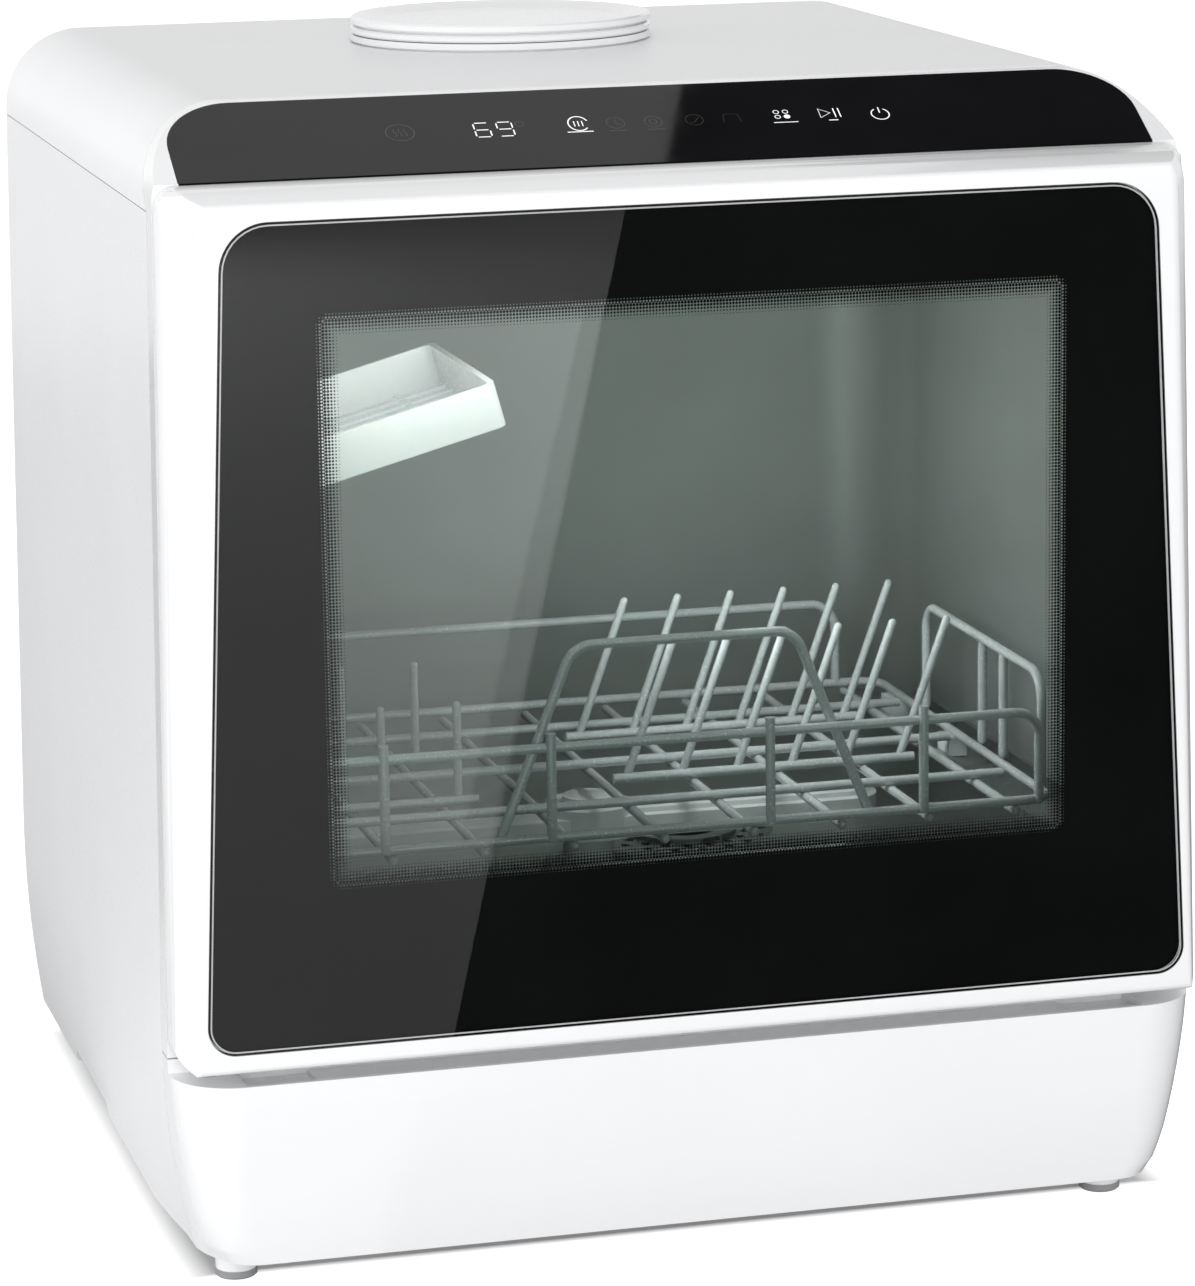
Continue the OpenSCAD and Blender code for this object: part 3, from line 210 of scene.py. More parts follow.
def brushed(name, color, rough, stretch, metal=1.0):
    """Brushed steel: long fine scratches along the stretched-out axis."""
    m, t, out = graph(name)
    p = t.nodes.new("ShaderNodeBsdfPrincipled")
    p.inputs["Metallic"].default_value = metal
    streak = noise(t, STREAK_GRAIN, 4.0, stretch, 0.7)
    cloud = noise(t, CLOUD_SCALE, 2.0)
    t.links.new(
        tones(t, cloud, shade(color, 1 - CLOUD_VARY), shade(color, 1 + CLOUD_VARY)),
        p.inputs["Base Color"],
    )
    t.links.new(spread(t, streak, rough - 0.06, rough + 0.08), p.inputs["Roughness"])
    t.links.new(bump(t, streak, STREAK_DEPTH, STREAK_BUMP), p.inputs["Normal"])
    t.links.new(p.outputs["BSDF"], out.inputs["Surface"])
    return m


PANE_IOR = 1.5
PANE_ROUGH = (0.004, 0.01)


def pane(name, tint):
    """Clear glass without refraction, so that what is behind stays in its place."""
    m, t, out = graph(name)
    clear = t.nodes.new("ShaderNodeBsdfTransparent")
    gloss = t.nodes.new("ShaderNodeBsdfGlossy")
    gloss.inputs["Color"].default_value = (1, 1, 1, 1)
    fres = t.nodes.new("ShaderNodeFresnel")
    fres.inputs["IOR"].default_value = PANE_IOR
    mix = t.nodes.new("ShaderNodeMixShader")
    haze = noise(t, 25.0, 3.0)
    t.links.new(tones(t, haze, shade(tint, 0.985), tint), clear.inputs["Color"])
    t.links.new(spread(t, haze, *PANE_ROUGH), gloss.inputs["Roughness"])
    t.links.new(fres.outputs["Fac"], mix.inputs["Fac"])
    t.links.new(clear.outputs["BSDF"], mix.inputs[1])
    t.links.new(gloss.outputs["BSDF"], mix.inputs[2])
    t.links.new(mix.outputs["Shader"], out.inputs["Surface"])
    return m


def symbol(name, color, glow):
    """A lit or dim touch symbol: a faint glow over printed ink."""
    m, t, out = graph(name)
    p = t.nodes.new("ShaderNodeBsdfPrincipled")
    ink = tones(t, noise(t, 2500.0, 2.0), shade(color, 0.94), color)
    t.links.new(ink, p.inputs["Base Color"])
    t.links.new(ink, p.inputs["Emission Color"])
    p.inputs["Emission Strength"].default_value = glow
    p.inputs["Roughness"].default_value = 0.5
    t.links.new(p.outputs["BSDF"], out.inputs["Surface"])
    return m


# ---------------------------------------------------------------- materials
WHITE = (0.885, 0.89, 0.90)

mats = {
    "white_shell": surface("gloss_white", WHITE, 0.22, coat=0.25, vary=0.01),
    "white_sheet": surface(
        "enamel_white",
        (0.875, 0.88, 0.89),
        0.32,
        vary=0.01,
        grain=1400.0,
        depth=0.00003,
    ),
    "grey_moulding": surface(
        "grey_moulding", (0.62, 0.63, 0.64), 0.5, grain=1800.0, depth=0.00006
    ),
    "dark_moulding": surface(
        "dark_moulding",
        (0.03, 0.03, 0.033),
        0.5,
        vary=0.12,
        grain=1800.0,
        depth=0.00006,
    ),
    "control_glass": surface(
        "control_black",
        (0.008, 0.008, 0.009),
        0.04,
        vary=0.2,
        grain=60.0,
        depth=0.000004,
        strength=0.05,
        rough_vary=0.015,
        specular=0.33,
    ),
    "black_glass": pane("door_glass_clear", (0.90, 0.93, 0.915)),
    "clear_glass": pane("window_glass_clear", (0.93, 0.95, 0.94)),
    "tub_steel": brushed(
        "tub_brushed", (0.60, 0.62, 0.605), 0.42, (0.05, 1, 1), metal=0.85
    ),
    "steel_parts": brushed("satin_steel", (0.60, 0.61, 0.62), 0.3, (1, 1, 0.06)),
    "wire_coat": surface(
        "coated_wire",
        (0.54, 0.56, 0.58),
        0.24,
        metal=0.3,
        vary=0.012,
        grain=900.0,
        depth=0.000008,
        strength=0.08,
        coat=0.5,
    ),
    "seal_rubber": surface(
        "seal_rubber", (0.025, 0.025, 0.027), 0.6, vary=0.2, grain=1500.0, depth=0.00006
    ),
    "foot_rubber": surface(
        "foot_rubber", (0.30, 0.30, 0.31), 0.65, vary=0.08, grain=1200.0, depth=0.0001
    ),
    "board_green": surface(
        "circuit_board", (0.03, 0.16, 0.08), 0.35, vary=0.25, vary_scale=220.0
    ),
    "shelf_plastic": surface(
        "shelf_plastic",
        (0.94, 0.925, 0.945),
        0.25,
        grain=800.0,
        depth=0.00003,
        coat=0.3,
        subsurface=0.15,
    ),
}
slot_of = {s["node"]: s["material_slot"] for s in frame["record"]["subparts"]}
for name, obj in nodes.items():
    obj.data.materials.clear()
    obj.data.materials.append(mats[slot_of[name]])


def dress(mat, *names):
    """Gives CAD nodes a material of their own."""
    for n in names:
        nodes[n].data.materials.clear()
        nodes[n].data.materials.append(mat)


dress(mats["white_shell"], "sill_strip")
dress(
    surface("satin_top", WHITE, 0.34, vary=0.01, specular=0.22),
    "top_cover",
)


# ---------------------------------------------------------------- mesh helpers
def piece(name, verts, faces, body, mat, slot):
    """A mesh that rides on a CAD body."""
    me = bpy.data.meshes.new(name)
    me.from_pydata([tuple(v) for v in verts], [], faces)
    me.update()
    o = bpy.data.objects.new(name, me)
    bpy.context.scene.collection.objects.link(o)
    o.data.materials.append(mat)
    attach(o, body)
    return o


class Sheet:
    """Collects flat shapes in a plane and places them by a function of (u, v)."""

    def __init__(self, place):
        self.place = place
        self.verts = []
        self.faces = []

    def poly(self, pts, holes):
        """A flat outline with holes, cut into triangles that face one way."""
        loops = [[Vector((x, y, 0)) for x, y in loop] for loop in (pts, *holes)]
        base = len(self.verts)
        flat = [p for loop in loops for p in loop]
        self.verts += [self.place(p.x, p.y) for p in flat]
        for tri in tessellate_polygon(loops):
            a, b, c = (flat[i] for i in tri)
            turn = (b.x - a.x) * (c.y - a.y) - (b.y - a.y) * (c.x - a.x)
            ordered = tri if turn > 0 else tri[::-1]
            self.faces.append(tuple(base + i for i in ordered))

    def disc(self, x, y, r, n):
        """A round dot of n corners."""
        self.fan([(x + r * c, y + r * s) for c, s in circle(n)])

    def fan(self, pts):
        """One convex face."""
        base = len(self.verts)
        self.verts += [self.place(*p) for p in pts]
        self.faces.append(tuple(range(base, base + len(pts))))

    def strip(self, inner, outer, closed=True):
        """Quads between two loops with the same number of points."""
        n = len(inner)
        base = len(self.verts)
        self.verts += [self.place(*p) for p in (*inner, *outer)]
        for i in range(n if closed else n - 1):
            j = (i + 1) % n
            self.faces.append((base + i, base + n + i, base + n + j, base + j))

    def stroke(self, pts, w, closed=False):
        """A line of width w through the points."""
        left, right = [], []
        n = len(pts)
        for i, (x, y) in enumerate(pts):
            a = pts[i - 1] if closed or i else pts[i]
            b = pts[(i + 1) % n] if closed or i < n - 1 else pts[i]
            dx, dy = b[0] - a[0], b[1] - a[1]
            d = math.hypot(dx, dy) or 1
            ox, oy = -dy / d * w / 2, dx / d * w / 2
            left.append((x + ox, y + oy))
            right.append((x - ox, y - oy))
        self.strip(left, right, closed)

    def bar(self, x0, y0, x1, y1):
        """An upright rectangle."""
        self.fan([(x0, y0), (x1, y0), (x1, y1), (x0, y1)])

    def make(self, name, body, mat, slot):
        """The collected shapes as one piece."""
        return piece(name, self.verts, self.faces, body, mat, slot)


def circle(n, start=0.0, turn=math.tau):
    """Cosines and sines round an arc; a full turn has no doubled end."""
    steps = n if turn >= math.tau - 1e-6 else n - 1
    return [
        (math.cos(start + turn * i / steps), math.sin(start + turn * i / steps))
        for i in range(n)
    ]


def arc(x, y, r, start, turn, n=24, ry=None):
    """Points on an arc, angles in degrees."""
    return [
        (x + r * c, y + (ry or r) * s)
        for c, s in circle(n, math.radians(start), math.radians(turn))
    ]


def rounded(corners, radii, n=10):
    """A polygon, counter-clockwise, with each corner rounded."""
    pts = []
    count = len(corners)
    for i, (p, r) in enumerate(zip(corners, radii)):
        p = Vector(p)
        a = (Vector(corners[i - 1]) - p).normalized()
        b = (Vector(corners[(i + 1) % count]) - p).normalized()
        half = a.angle(b) / 2
        centre = p + (a + b).normalized() * (r / math.sin(half))
        start = math.atan2(*(p + a * (r / math.tan(half)) - centre).yx)
        turn = math.pi - 2 * half
        for k in range(n):
            t = start + turn * k / (n - 1)
            pts.append((centre.x + r * math.cos(t), centre.y + r * math.sin(t)))
    return pts


# ---------------------------------------------------------------- door glass
# The glass's foot and top: height, width and corner radius.
GLASS_Z0 = 105.0
GLASS_Z1 = 425.0
GLASS_W0 = 398.4
GLASS_W1 = 369.6
GLASS_R0 = 11
GLASS_R1 = 19


def glass_outline(inset):
    """The door glass seen from the front, drawn in by inset."""
    lean = (GLASS_W0 - GLASS_W1) / 2 / (GLASS_Z1 - GLASS_Z0)
    low, high = GLASS_Z0 + inset, GLASS_Z1 - inset
    h0 = GLASS_W0 / 2 - inset * math.hypot(1, lean) - lean * inset
    h1 = GLASS_W1 / 2 - inset * math.hypot(1, lean) + lean * inset
    return rounded(
        [(-h0, low), (h0, low), (h1, high), (-h1, high)],
        [GLASS_R0 - inset] * 2 + [GLASS_R1 - inset] * 2,
    )


# Dots: a square lattice with pierced squares in its outer rows and round dots inside.
PITCH = 1.2715
COLS = 235
ROWS = 176
WINDOW_X = -PITCH * COLS / 2
WINDOW_Z = 165.95
CORNER = 6.0
PIERCED = (0.18, 0.34)
DOTS = (0.47, 0.42, 0.35, 0.26, 0.16)
PRINT_Y = 3.85
PRINT_INSET = 0.25
# Half the side of a regular octagon, for a half width of one.
OCTAGON = 0.4142


def frit():
    """The black print on the glass, with its dotted edge round the window."""
    s = Sheet(lambda u, v: at(u, PRINT_Y, v))
    x0, z0 = WINDOW_X, WINDOW_Z
    w, h = PITCH * COLS, PITCH * ROWS
    x1, z1 = x0 + w, z0 + h
    s.poly(glass_outline(PRINT_INSET), [[(x0, z0), (x0, z1), (x1, z1), (x1, z0)]])
    rows = len(PIERCED) + len(DOTS)
    # Rows to look at from each edge, with the ones that a round corner adds.
    deep = int((CORNER * 0.3) / PITCH) + rows + 1
    unit8, unit12 = circle(8, math.pi / 8), circle(12)
    for j in range(ROWS):
        edge_row = min(j, ROWS - 1 - j) < deep
        cols = (
            range(COLS)
            if edge_row
            else [*range(deep), *range(COLS - deep, COLS)]
        )
        for i in cols:
            cx, cz = x0 + (i + 0.5) * PITCH, z0 + (j + 0.5) * PITCH
            qx = abs(cx - (x0 + x1) / 2) - w / 2 + CORNER
            qz = abs(cz - (z0 + z1) / 2) - h / 2 + CORNER
            inside = (
                CORNER
                - math.hypot(max(qx, 0), max(qz, 0))
                - min(max(qx, qz), 0)
            )
            k = math.floor(inside / PITCH)
            if k < 0:
                s.bar(
                    cx - PITCH / 2, cz - PITCH / 2, cx + PITCH / 2, cz + PITCH / 2
                )
            elif k < len(PIERCED):
                r = PIERCED[k] * PITCH
                hole = [(cx + r * c, cz + r * q) for c, q in unit8]
                e = PITCH / 2
                octagon = [
                    (e, e * OCTAGON),
                    (e * OCTAGON, e),
                    (-e * OCTAGON, e),
                    (-e, e * OCTAGON),
                    (-e, -e * OCTAGON),
                    (-e * OCTAGON, -e),
                    (e * OCTAGON, -e),
                    (e, -e * OCTAGON),
                ]
                s.strip(hole, [(cx + a, cz + b) for a, b in octagon])
                for a, b in ((e, e), (-e, e), (-e, -e), (e, -e)):
                    tri = [
                        (cx + a, cz + b),
                        (cx + a * OCTAGON, cz + b),
                        (cx + a, cz + b * OCTAGON),
                    ]
                    s.fan(tri if a * b > 0 else tri[::-1])
            elif k < rows:
                r = DOTS[k - len(PIERCED)] * PITCH
                s.fan([(cx + r * c, cz + r * q) for c, q in unit12])
    return s


print_black = surface(
    "glass_print",
    (0.006, 0.006, 0.0065),
    0.7,
    vary=0.2,
    grain=2200.0,
    depth=0.00001,
    specular=0.1,
)
frit().make("door_glass_print", "door", print_black, "black_glass")

# A pale strip just inside the glass's black rim: a painted highlight for the light
# caught by the glass's bevelled edge.
bevel_painted_highlight = surface(
    "glass_edge_painted_highlight", (0.74, 0.70, 0.72), 0.3, vary=0.06, grain=900.0, specular=0.4
)
BEVEL_Y = 0.2
BEVEL_INSETS = (1.35, 0.75)
rim = Sheet(lambda u, v: at(u, BEVEL_Y, v))
rim.strip(*(glass_outline(inset) for inset in BEVEL_INSETS))
rim.make("door_glass_bevel_painted_highlight", "door", bevel_painted_highlight, "black_glass")


# ---------------------------------------------------------------- door liner
# The liner's window reaches past the dotted edge, so the tub shows up to the dots.
LINER_X = 163.0
LINER_Z0 = 157.0
LINER_Z1 = 392.0
LINER_R = 10
SEAL_LIP = 1.2
# From front to back: the cut, the wall round it, the pane and its gasket.
CUT_Y = (20, 45)
WALL_Y = (27.1, 36.9)
PANE_Y = (30.2, 33.2)
GASKET_Y = (28.8, 34.6)
WALL = 2.0
PANE_GAP = 0.6
GASKET_GAP = 0.1


def liner_outline(grow):
    """The window's opening in the liner, drawn out by grow."""
    x, z0, z1 = LINER_X + grow, LINER_Z0 - grow, LINER_Z1 + grow
    return rounded([(-x, z0), (x, z0), (x, z1), (-x, z1)], [LINER_R + grow] * 4)


def slab(outer, y0, y1, inner=None, place=at):
    """Vertices and faces of an outline, or a ring, carried from y0 to y1."""
    n = len(outer)
    loops = [outer] if inner is None else [outer, inner]
    verts = [place(x, y, z) for loop in loops for y in (y0, y1) for x, z in loop]
    faces = []
    for k in range(len(loops)):
        base = 2 * n * k
        for i in range(n):
            j = (i + 1) % n
            quad = (base + i, base + n + i, base + n + j, base + j)
            faces.append(quad if k == 0 else quad[::-1])
    if inner is None:
        faces += [tuple(range(n)), tuple(reversed(range(n, 2 * n)))]
    else:
        for i in range(n):
            j = (i + 1) % n
            faces.append((i, j, 2 * n + j, 2 * n + i))
            faces.append((n + j, n + i, 3 * n + i, 3 * n + j))
    return verts, faces


def cut_copy(node, verts, faces):
    """A copy of a CAD node's mesh with a solid taken out of it."""
    bm = bmesh.new()
    bm.from_mesh(nodes[node].data)
    bmesh.ops.remove_doubles(bm, verts=bm.verts, dist=2e-6)
    me = bpy.data.meshes.new(node + "_work")
    bm.to_mesh(me)
    bm.free()
    work = bpy.data.objects.new(node + "_work", me)
    knife_me = bpy.data.meshes.new("knife")
    knife_me.from_pydata([tuple(v) for v in verts], [], faces)
    knife = bpy.data.objects.new("knife", knife_me)
    for o in (work, knife):
        bpy.context.scene.collection.objects.link(o)
    mod = work.modifiers.new("cut", "BOOLEAN")
    mod.operation = "DIFFERENCE"
    mod.solver = "EXACT"
    mod.object = knife
    dg = bpy.context.evaluated_depsgraph_get()
    result = bpy.data.meshes.new_from_object(work.evaluated_get(dg))
    for o in (work, knife):
        bpy.data.objects.remove(o)
    out = [Vector(v.co) for v in result.vertices], [
        tuple(f.vertices) for f in result.polygons
    ]
    bpy.data.meshes.remove(result)
    return out


def door_liner():
    """The inner panel with its window recut, and the pane and gasket in it."""
    v, f = cut_copy("door_inner_panel", *slab(liner_outline(0), *CUT_Y))
    wall_v, wall_f = slab(liner_outline(WALL), *WALL_Y, liner_outline(0))
    f = f + [tuple(len(v) + i for i in face) for face in wall_f]
    v = v + wall_v
    o = piece("door_liner", v, f, "door", mats["tub_steel"], "tub_steel")
    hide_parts("door_inner_panel")
    v, f = slab(liner_outline(-PANE_GAP), *PANE_Y)
    o = piece("window_pane", v, f, "door", mats["clear_glass"], "clear_glass")
    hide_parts("window_glass")
    v, f = slab(liner_outline(-GASKET_GAP), *GASKET_Y, liner_outline(-SEAL_LIP))
    o = piece("window_gasket", v, f, "door", mats["seal_rubber"], "seal_rubber")
    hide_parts("window_seal")


door_liner()

# ---------------------------------------------------------------- cup shelf
# The hinge's place and tilt, then the tray's sizes on its own axes.
SHELF_X = -174.0
SHELF_Y = 82.0
SHELF_Z = 300.0
SHELF_TILT = math.radians(15)
SHELF_X0 = 6
SHELF_L = 121.0
SHELF_D = 112.0
SHELF_LOW = -2.0
SHELF_HIGH = 16.0
SHELF_WALL = 2.5
SHELF_FLOOR = 2.2
SLATS = 9
SLAT_SHARE = 0.55
RIBS_X = (34.0, 66.0, 98.0)
RIB_W = 3
RIB_LOWER = 0.3
RIB_UPPER = 0.1
BARREL_R = 5.5
BARREL_L = 30


def on_shelf(x, y, z):
    """A point of the shelf: x along it, y down from it, z towards the back."""
    c, s = math.cos(SHELF_TILT), math.sin(SHELF_TILT)
    return at(SHELF_X + x * c + y * s, SHELF_Y + z, SHELF_Z + x * s - y * c)


def joined(parts):
    """Several sets of vertices and faces as one."""
    verts, faces = [], []
    for v, f in parts:
        faces += [tuple(len(verts) + i for i in face) for face in f]
        verts += v
    return verts, faces


def box(x0, x1, z0, z1):
    """The corners of an upright rectangle, counter-clockwise."""
    return [(x0, z0), (x1, z0), (x1, z1), (x0, z1)]


def shelf():
    """A plain-sided tray with a slotted floor; its hinge barrels are the solid's."""
    w = SHELF_WALL
    x0, x1 = SHELF_X0, SHELF_L
    outer = rounded(box(x0, x1, 0, SHELF_D), [3, 5, 5, 3], 6)
    inner = rounded(box(x0 + w, x1 - w, w, SHELF_D - w), [1, 3, 3, 1], 6)
    parts = [slab(outer, -SHELF_HIGH, -SHELF_LOW, inner, on_shelf)]
    top, under = -SHELF_LOW - SHELF_FLOOR, -SHELF_LOW
    step = (SHELF_D - 2 * w) / SLATS
    for i in range(SLATS):
        z = w + step * i
        slat = box(x0 + w - 1, x1 - w + 1, z, z + step * SLAT_SHARE)
        slat = rounded(slat, [0.8] * 4, 3)
        parts.append(slab(slat, top, under, None, on_shelf))
    for x in RIBS_X:
        rib = rounded(box(x, x + RIB_W, w - 1, SHELF_D - w + 1), [0.8] * 4, 3)
        parts.append(slab(rib, top + RIB_LOWER, under - RIB_UPPER, None, on_shelf))
    for z0, z1 in ((0, BARREL_L), (SHELF_D - BARREL_L, SHELF_D)):
        ring = [(BARREL_R * c, BARREL_R * q) for c, q in circle(24)]
        barrel = [on_shelf(x, y, z) for z in (z0, z1) for x, y in ring]
        n = len(ring)
        faces = [(i, (i + 1) % n, n + (i + 1) % n, n + i) for i in range(n)]
        faces += [tuple(reversed(range(n))), tuple(range(n, 2 * n))]
        parts.append((barrel, faces))
    v, f = joined(parts)
    o = piece("shelf_tray", v, f, "shelf", mats["shelf_plastic"], "shelf_plastic")
    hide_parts("cup_shelf")


shelf()


# ---------------------------------------------------------------- base
# Below the belt the body is rounder at the front corners than the solids, and fuller
# at the sides. SAG_R is the radius of the solids' own inward curve.
BELT = 97.0
SAG_R = 311.1
LOWEST = 15.0
FULLER = 0.45
# Rows of height and how far the front corner is tucked in there.
FRONT_TUCK = (
    (15.0, 7.0),
    (18.3, 5.5),
    (21.0, 4.2),
    (28.0, 3.2),
    (33.5, 2.7),
    (47.3, 2.2),
    (63.6, 1.6),
    (80.0, 0.8),
    (95.0, 0.0),
)
# Along y: where the tuck fades out, and where the fuller side comes in.
TUCK_Y0 = 20.0
TUCK_Y1 = 42.4
FULL_Y0 = 46.0
FULL_Y1 = 110.0
# Out from the middle: what stays, and what moves in full.
HALF_FREE = 150.0
HALF_MOVED = 186.0
# Extra cuts across the meshes, in z and in y, so that the shift bends them smoothly.
LEVELS = (18.3, 21.0, 28.0, 33.5, 40.0, 47.3, 55.0, 63.6, 72.0, 80.0, 88.0, 95.0)
STATIONS = (27.0, 34.0, 60.0, 80.0, 110.0)


def ease(t):
    """A smooth step from 0 to 1."""
    t = max(0.0, min(1.0, t))
    return t * t * (3 - 2 * t)


def table(rows, z):
    """A value between the rows of a table, level past its ends."""
    if z <= rows[0][0]:
        return rows[0][1]
    for (a, p), (b, q) in zip(rows, rows[1:]):
        if z <= b:
            return p + (q - p) * (z - a) / (b - a)
    return rows[-1][1]


def base_shift(x, y, z):
    """How far a point of the base moves outwards from the middle."""
    if z >= BELT:
        return 0.0
    low = max(z, LOWEST)
    sag = SAG_R - math.sqrt(SAG_R**2 - (BELT - low) ** 2)
    tuck = table(FRONT_TUCK, low) * (1 - ease((y - TUCK_Y0) / (TUCK_Y1 - TUCK_Y0)))
    full = FULLER * sag * ease((y - FULL_Y0) / (FULL_Y1 - FULL_Y0))
    return (full - tuck) * ease((abs(x) - HALF_FREE) / (HALF_MOVED - HALF_FREE))


# The door frame's half width at the foot of the glass, and how it narrows upwards.
DOOR_HALF = 210.0
DOOR_LEAN = 0.045
DOOR_TOP = max(v.co.z for v in nodes["door_frame"].data.vertices) * 1000
# How far the long front edges and the top corners come in, and how far they reach.
EDGE_IN = 3.0
EDGE_Y = 12.0
CORNER_IN = 6.0
CORNER_Z = 14.0
CORNER_Y = 24.0
DOOR_LEVELS = [DOOR_TOP - d for d in (14.0, 10.0, 7.0, 4.5, 2.5, 1.0)]
DOOR_STATIONS = (2.0, 4.0, 6.0, 9.0, 12.0, 16.0, 20.0)


def door_shift(x, y, z):
    """How far a point of the door's frame moves: rounder long edges, top corners."""
    beyond = abs(x) - (DOOR_HALF - (z - GLASS_Z0) * DOOR_LEAN)
    side = EDGE_IN * (1 - min(y, EDGE_Y) / EDGE_Y) ** 2 * ease((beyond + 7) / 6)
    rise = max(0.0, (z - DOOR_TOP + CORNER_Z) / CORNER_Z) ** 2
    depth = ease((CORNER_Y - y) / 10.0)
    return -(side + CORNER_IN * rise * depth * ease((beyond + 14) / 12))


SMOOTH_UNDER = math.radians(24)


def reshaped(name, node, mat, body, shift, levels, stations):
    """A copy of a CAD node, pushed in or out along x, that stands in for the node."""
    bm = bmesh.new()
    bm.from_mesh(nodes[node].data)
    bmesh.ops.remove_doubles(bm, verts=bm.verts, dist=2e-6)
    for axis, places in ((2, levels), (1, stations)):
        for place in places:
            co = at(0, place if axis == 1 else 0, place if axis == 2 else 0)
            bmesh.ops.bisect_plane(
                bm,
                geom=[*bm.verts, *bm.edges, *bm.faces],
                plane_co=co,
                plane_no=[float(axis == k) for k in range(3)],
                dist=1e-6,
            )
    for v in bm.verts:
        x, y, z = v.co.x * 1000, v.co.y * 1000 - FACE, v.co.z * 1000
        v.co.x += shift(x, y, z) * (1 if x > 0 else -1) / 1000
    bmesh.ops.recalc_face_normals(bm, faces=bm.faces)
    for e in bm.edges:
        if len(e.link_faces) == 2:
            e.smooth = e.calc_face_angle(0) < SMOOTH_UNDER
        else:
            e.smooth = False
    for f in bm.faces:
        f.smooth = True
    me = bpy.data.meshes.new(name)
    bm.to_mesh(me)
    bm.free()
    me.materials.clear()
    me.materials.append(mat)
    o = bpy.data.objects.new(name, me)
    bpy.context.scene.collection.objects.link(o)
    o.matrix_world = nodes[node].matrix_world.copy()
    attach(o, body)
    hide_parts(node)


BASE_PIECES = {
    "kick_shell": "kick_panel",
    "side_shell_left": "side_panel_left",
    "side_shell_right": "side_panel_right",
    "base_shell": "base_tray",
    "back_shell": "back_panel",
}
for name, node in BASE_PIECES.items():
    mat = mats[slot_of[node]]
    reshaped(name, node, mat, "cabinet", base_shift, LEVELS, STATIONS)
mat = mats[slot_of["door_frame"]]
reshaped(
    "door_shell", "door_frame", mat, "door", door_shift, DOOR_LEVELS, DOOR_STATIONS
)


# ---------------------------------------------------------------- feet and ledge
TURN_STEPS = 40


def turned(profile, x, y):
    """A ring turned round an upright axis from a closed profile of (r, z)."""
    n, m = TURN_STEPS, len(profile)
    verts = [
        at(x + r * c, y + r * q, z) for c, q in circle(n) for r, z in profile
    ]
    faces = []
    for i in range(n):
        for k in range(m):
            a, b = i * m, (i + 1) % n * m
            faces.append((a + k, b + k, b + (k + 1) % m, a + (k + 1) % m))
    return verts, faces


# Closed profiles (radius, height) of a foot's rubber pad, its flange and its boss.
PAD = ((3.5, 0), (7.6, 0), (8.4, 0.7), (8.4, 2.7), (7.9, 3.2), (3.5, 3.2))
FLANGE = ((3.0, 3.2), (8.0, 3.2), (8.3, 3.6), (8.3, 9.0), (6.5, 14.9), (3.0, 14.9))
BOSS_X = 163
BOSS = ((0.5, 4.2), (5.8, 4.2), (6.8, 5.0), (7.2, 14.9), (0.5, 14.9))
FEET = {
    "foot_front_left": (-182.0, 50.0),
    "foot_front_right": (182.0, 50.0),
    "foot_rear_left": (-182.0, 361.0),
    "foot_rear_right": (182.0, 361.0),
}
for node, (x, y) in FEET.items():
    pad = piece(
        node.replace("foot", "pad"),
        *turned(PAD, x, y),
        "cabinet",
        mats["foot_rubber"],
        slot_of[node],
    )
    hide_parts(node)
flanges = joined(
    [turned(FLANGE, x, y) for x, y in FEET.values()]
    + [turned(BOSS, math.copysign(BOSS_X, x), y) for x, y in FEET.values()]
)
piece("foot_flanges", *flanges, "cabinet", mats["white_shell"], "white_shell")


def ledge_tab(x0, x1, y0, y1, z0, z1, taper):
    """A small raised tab: a box whose top is drawn in."""
    low = [(x0, y0), (x1, y0), (x1, y1), (x0, y1)]
    high = [
        (x0 + taper, y0 + taper),
        (x1 - taper, y0 + taper),
        (x1 - taper, y1 - taper),
        (x0 + taper, y1 - taper),
    ]
    verts = [at(x, y, z0) for x, y in low] + [at(x, y, z1) for x, y in high]
    faces = [(3, 2, 1, 0), (4, 5, 6, 7)]
    faces += [(i, (i + 1) % 4, 4 + (i + 1) % 4, 4 + i) for i in range(4)]
    return verts, faces


TABS_X = (-166.0, 155.5)
TAB_W = 10.5
TAB_Y = (13.0, 26.0)
TAB_Z = (84.5, 87.6)
TAB_TAPER = 0.9
tabs = joined(ledge_tab(x, x + TAB_W, *TAB_Y, *TAB_Z, TAB_TAPER) for x in TABS_X)
piece("ledge_tabs", *tabs, "cabinet", mats["white_shell"], "white_shell")

# A thin dark plate on the ledge's left end: painted shade for the dark inside of a
# slot, which is not cut.
SLOT_X = (-198.0, -192.6)
SLOT_Y = (21.5, 28.0)
SLOT_Z = (90.8, 91.25)
SLOT_TAPER = 0.1
slot = ledge_tab(*SLOT_X, *SLOT_Y, *SLOT_Z, SLOT_TAPER)
piece("ledge_slot_painted_shade", *slot, "cabinet", mats["dark_moulding"], "dark_moulding")


# ---------------------------------------------------------------- back screws
# The back panel's face, the head's rings (radius, height) and its cross.
SCREW_Y = 409.6
SCREW_STEPS = 16
HEAD = ((4.0, 0.0), (3.8, 0.6), (2.6, 1.0))
CROSS_HALF = 0.45
CROSS_ARM = 1.9
CROSS_LOW = 0.5
CROSS_HIGH = 1.0


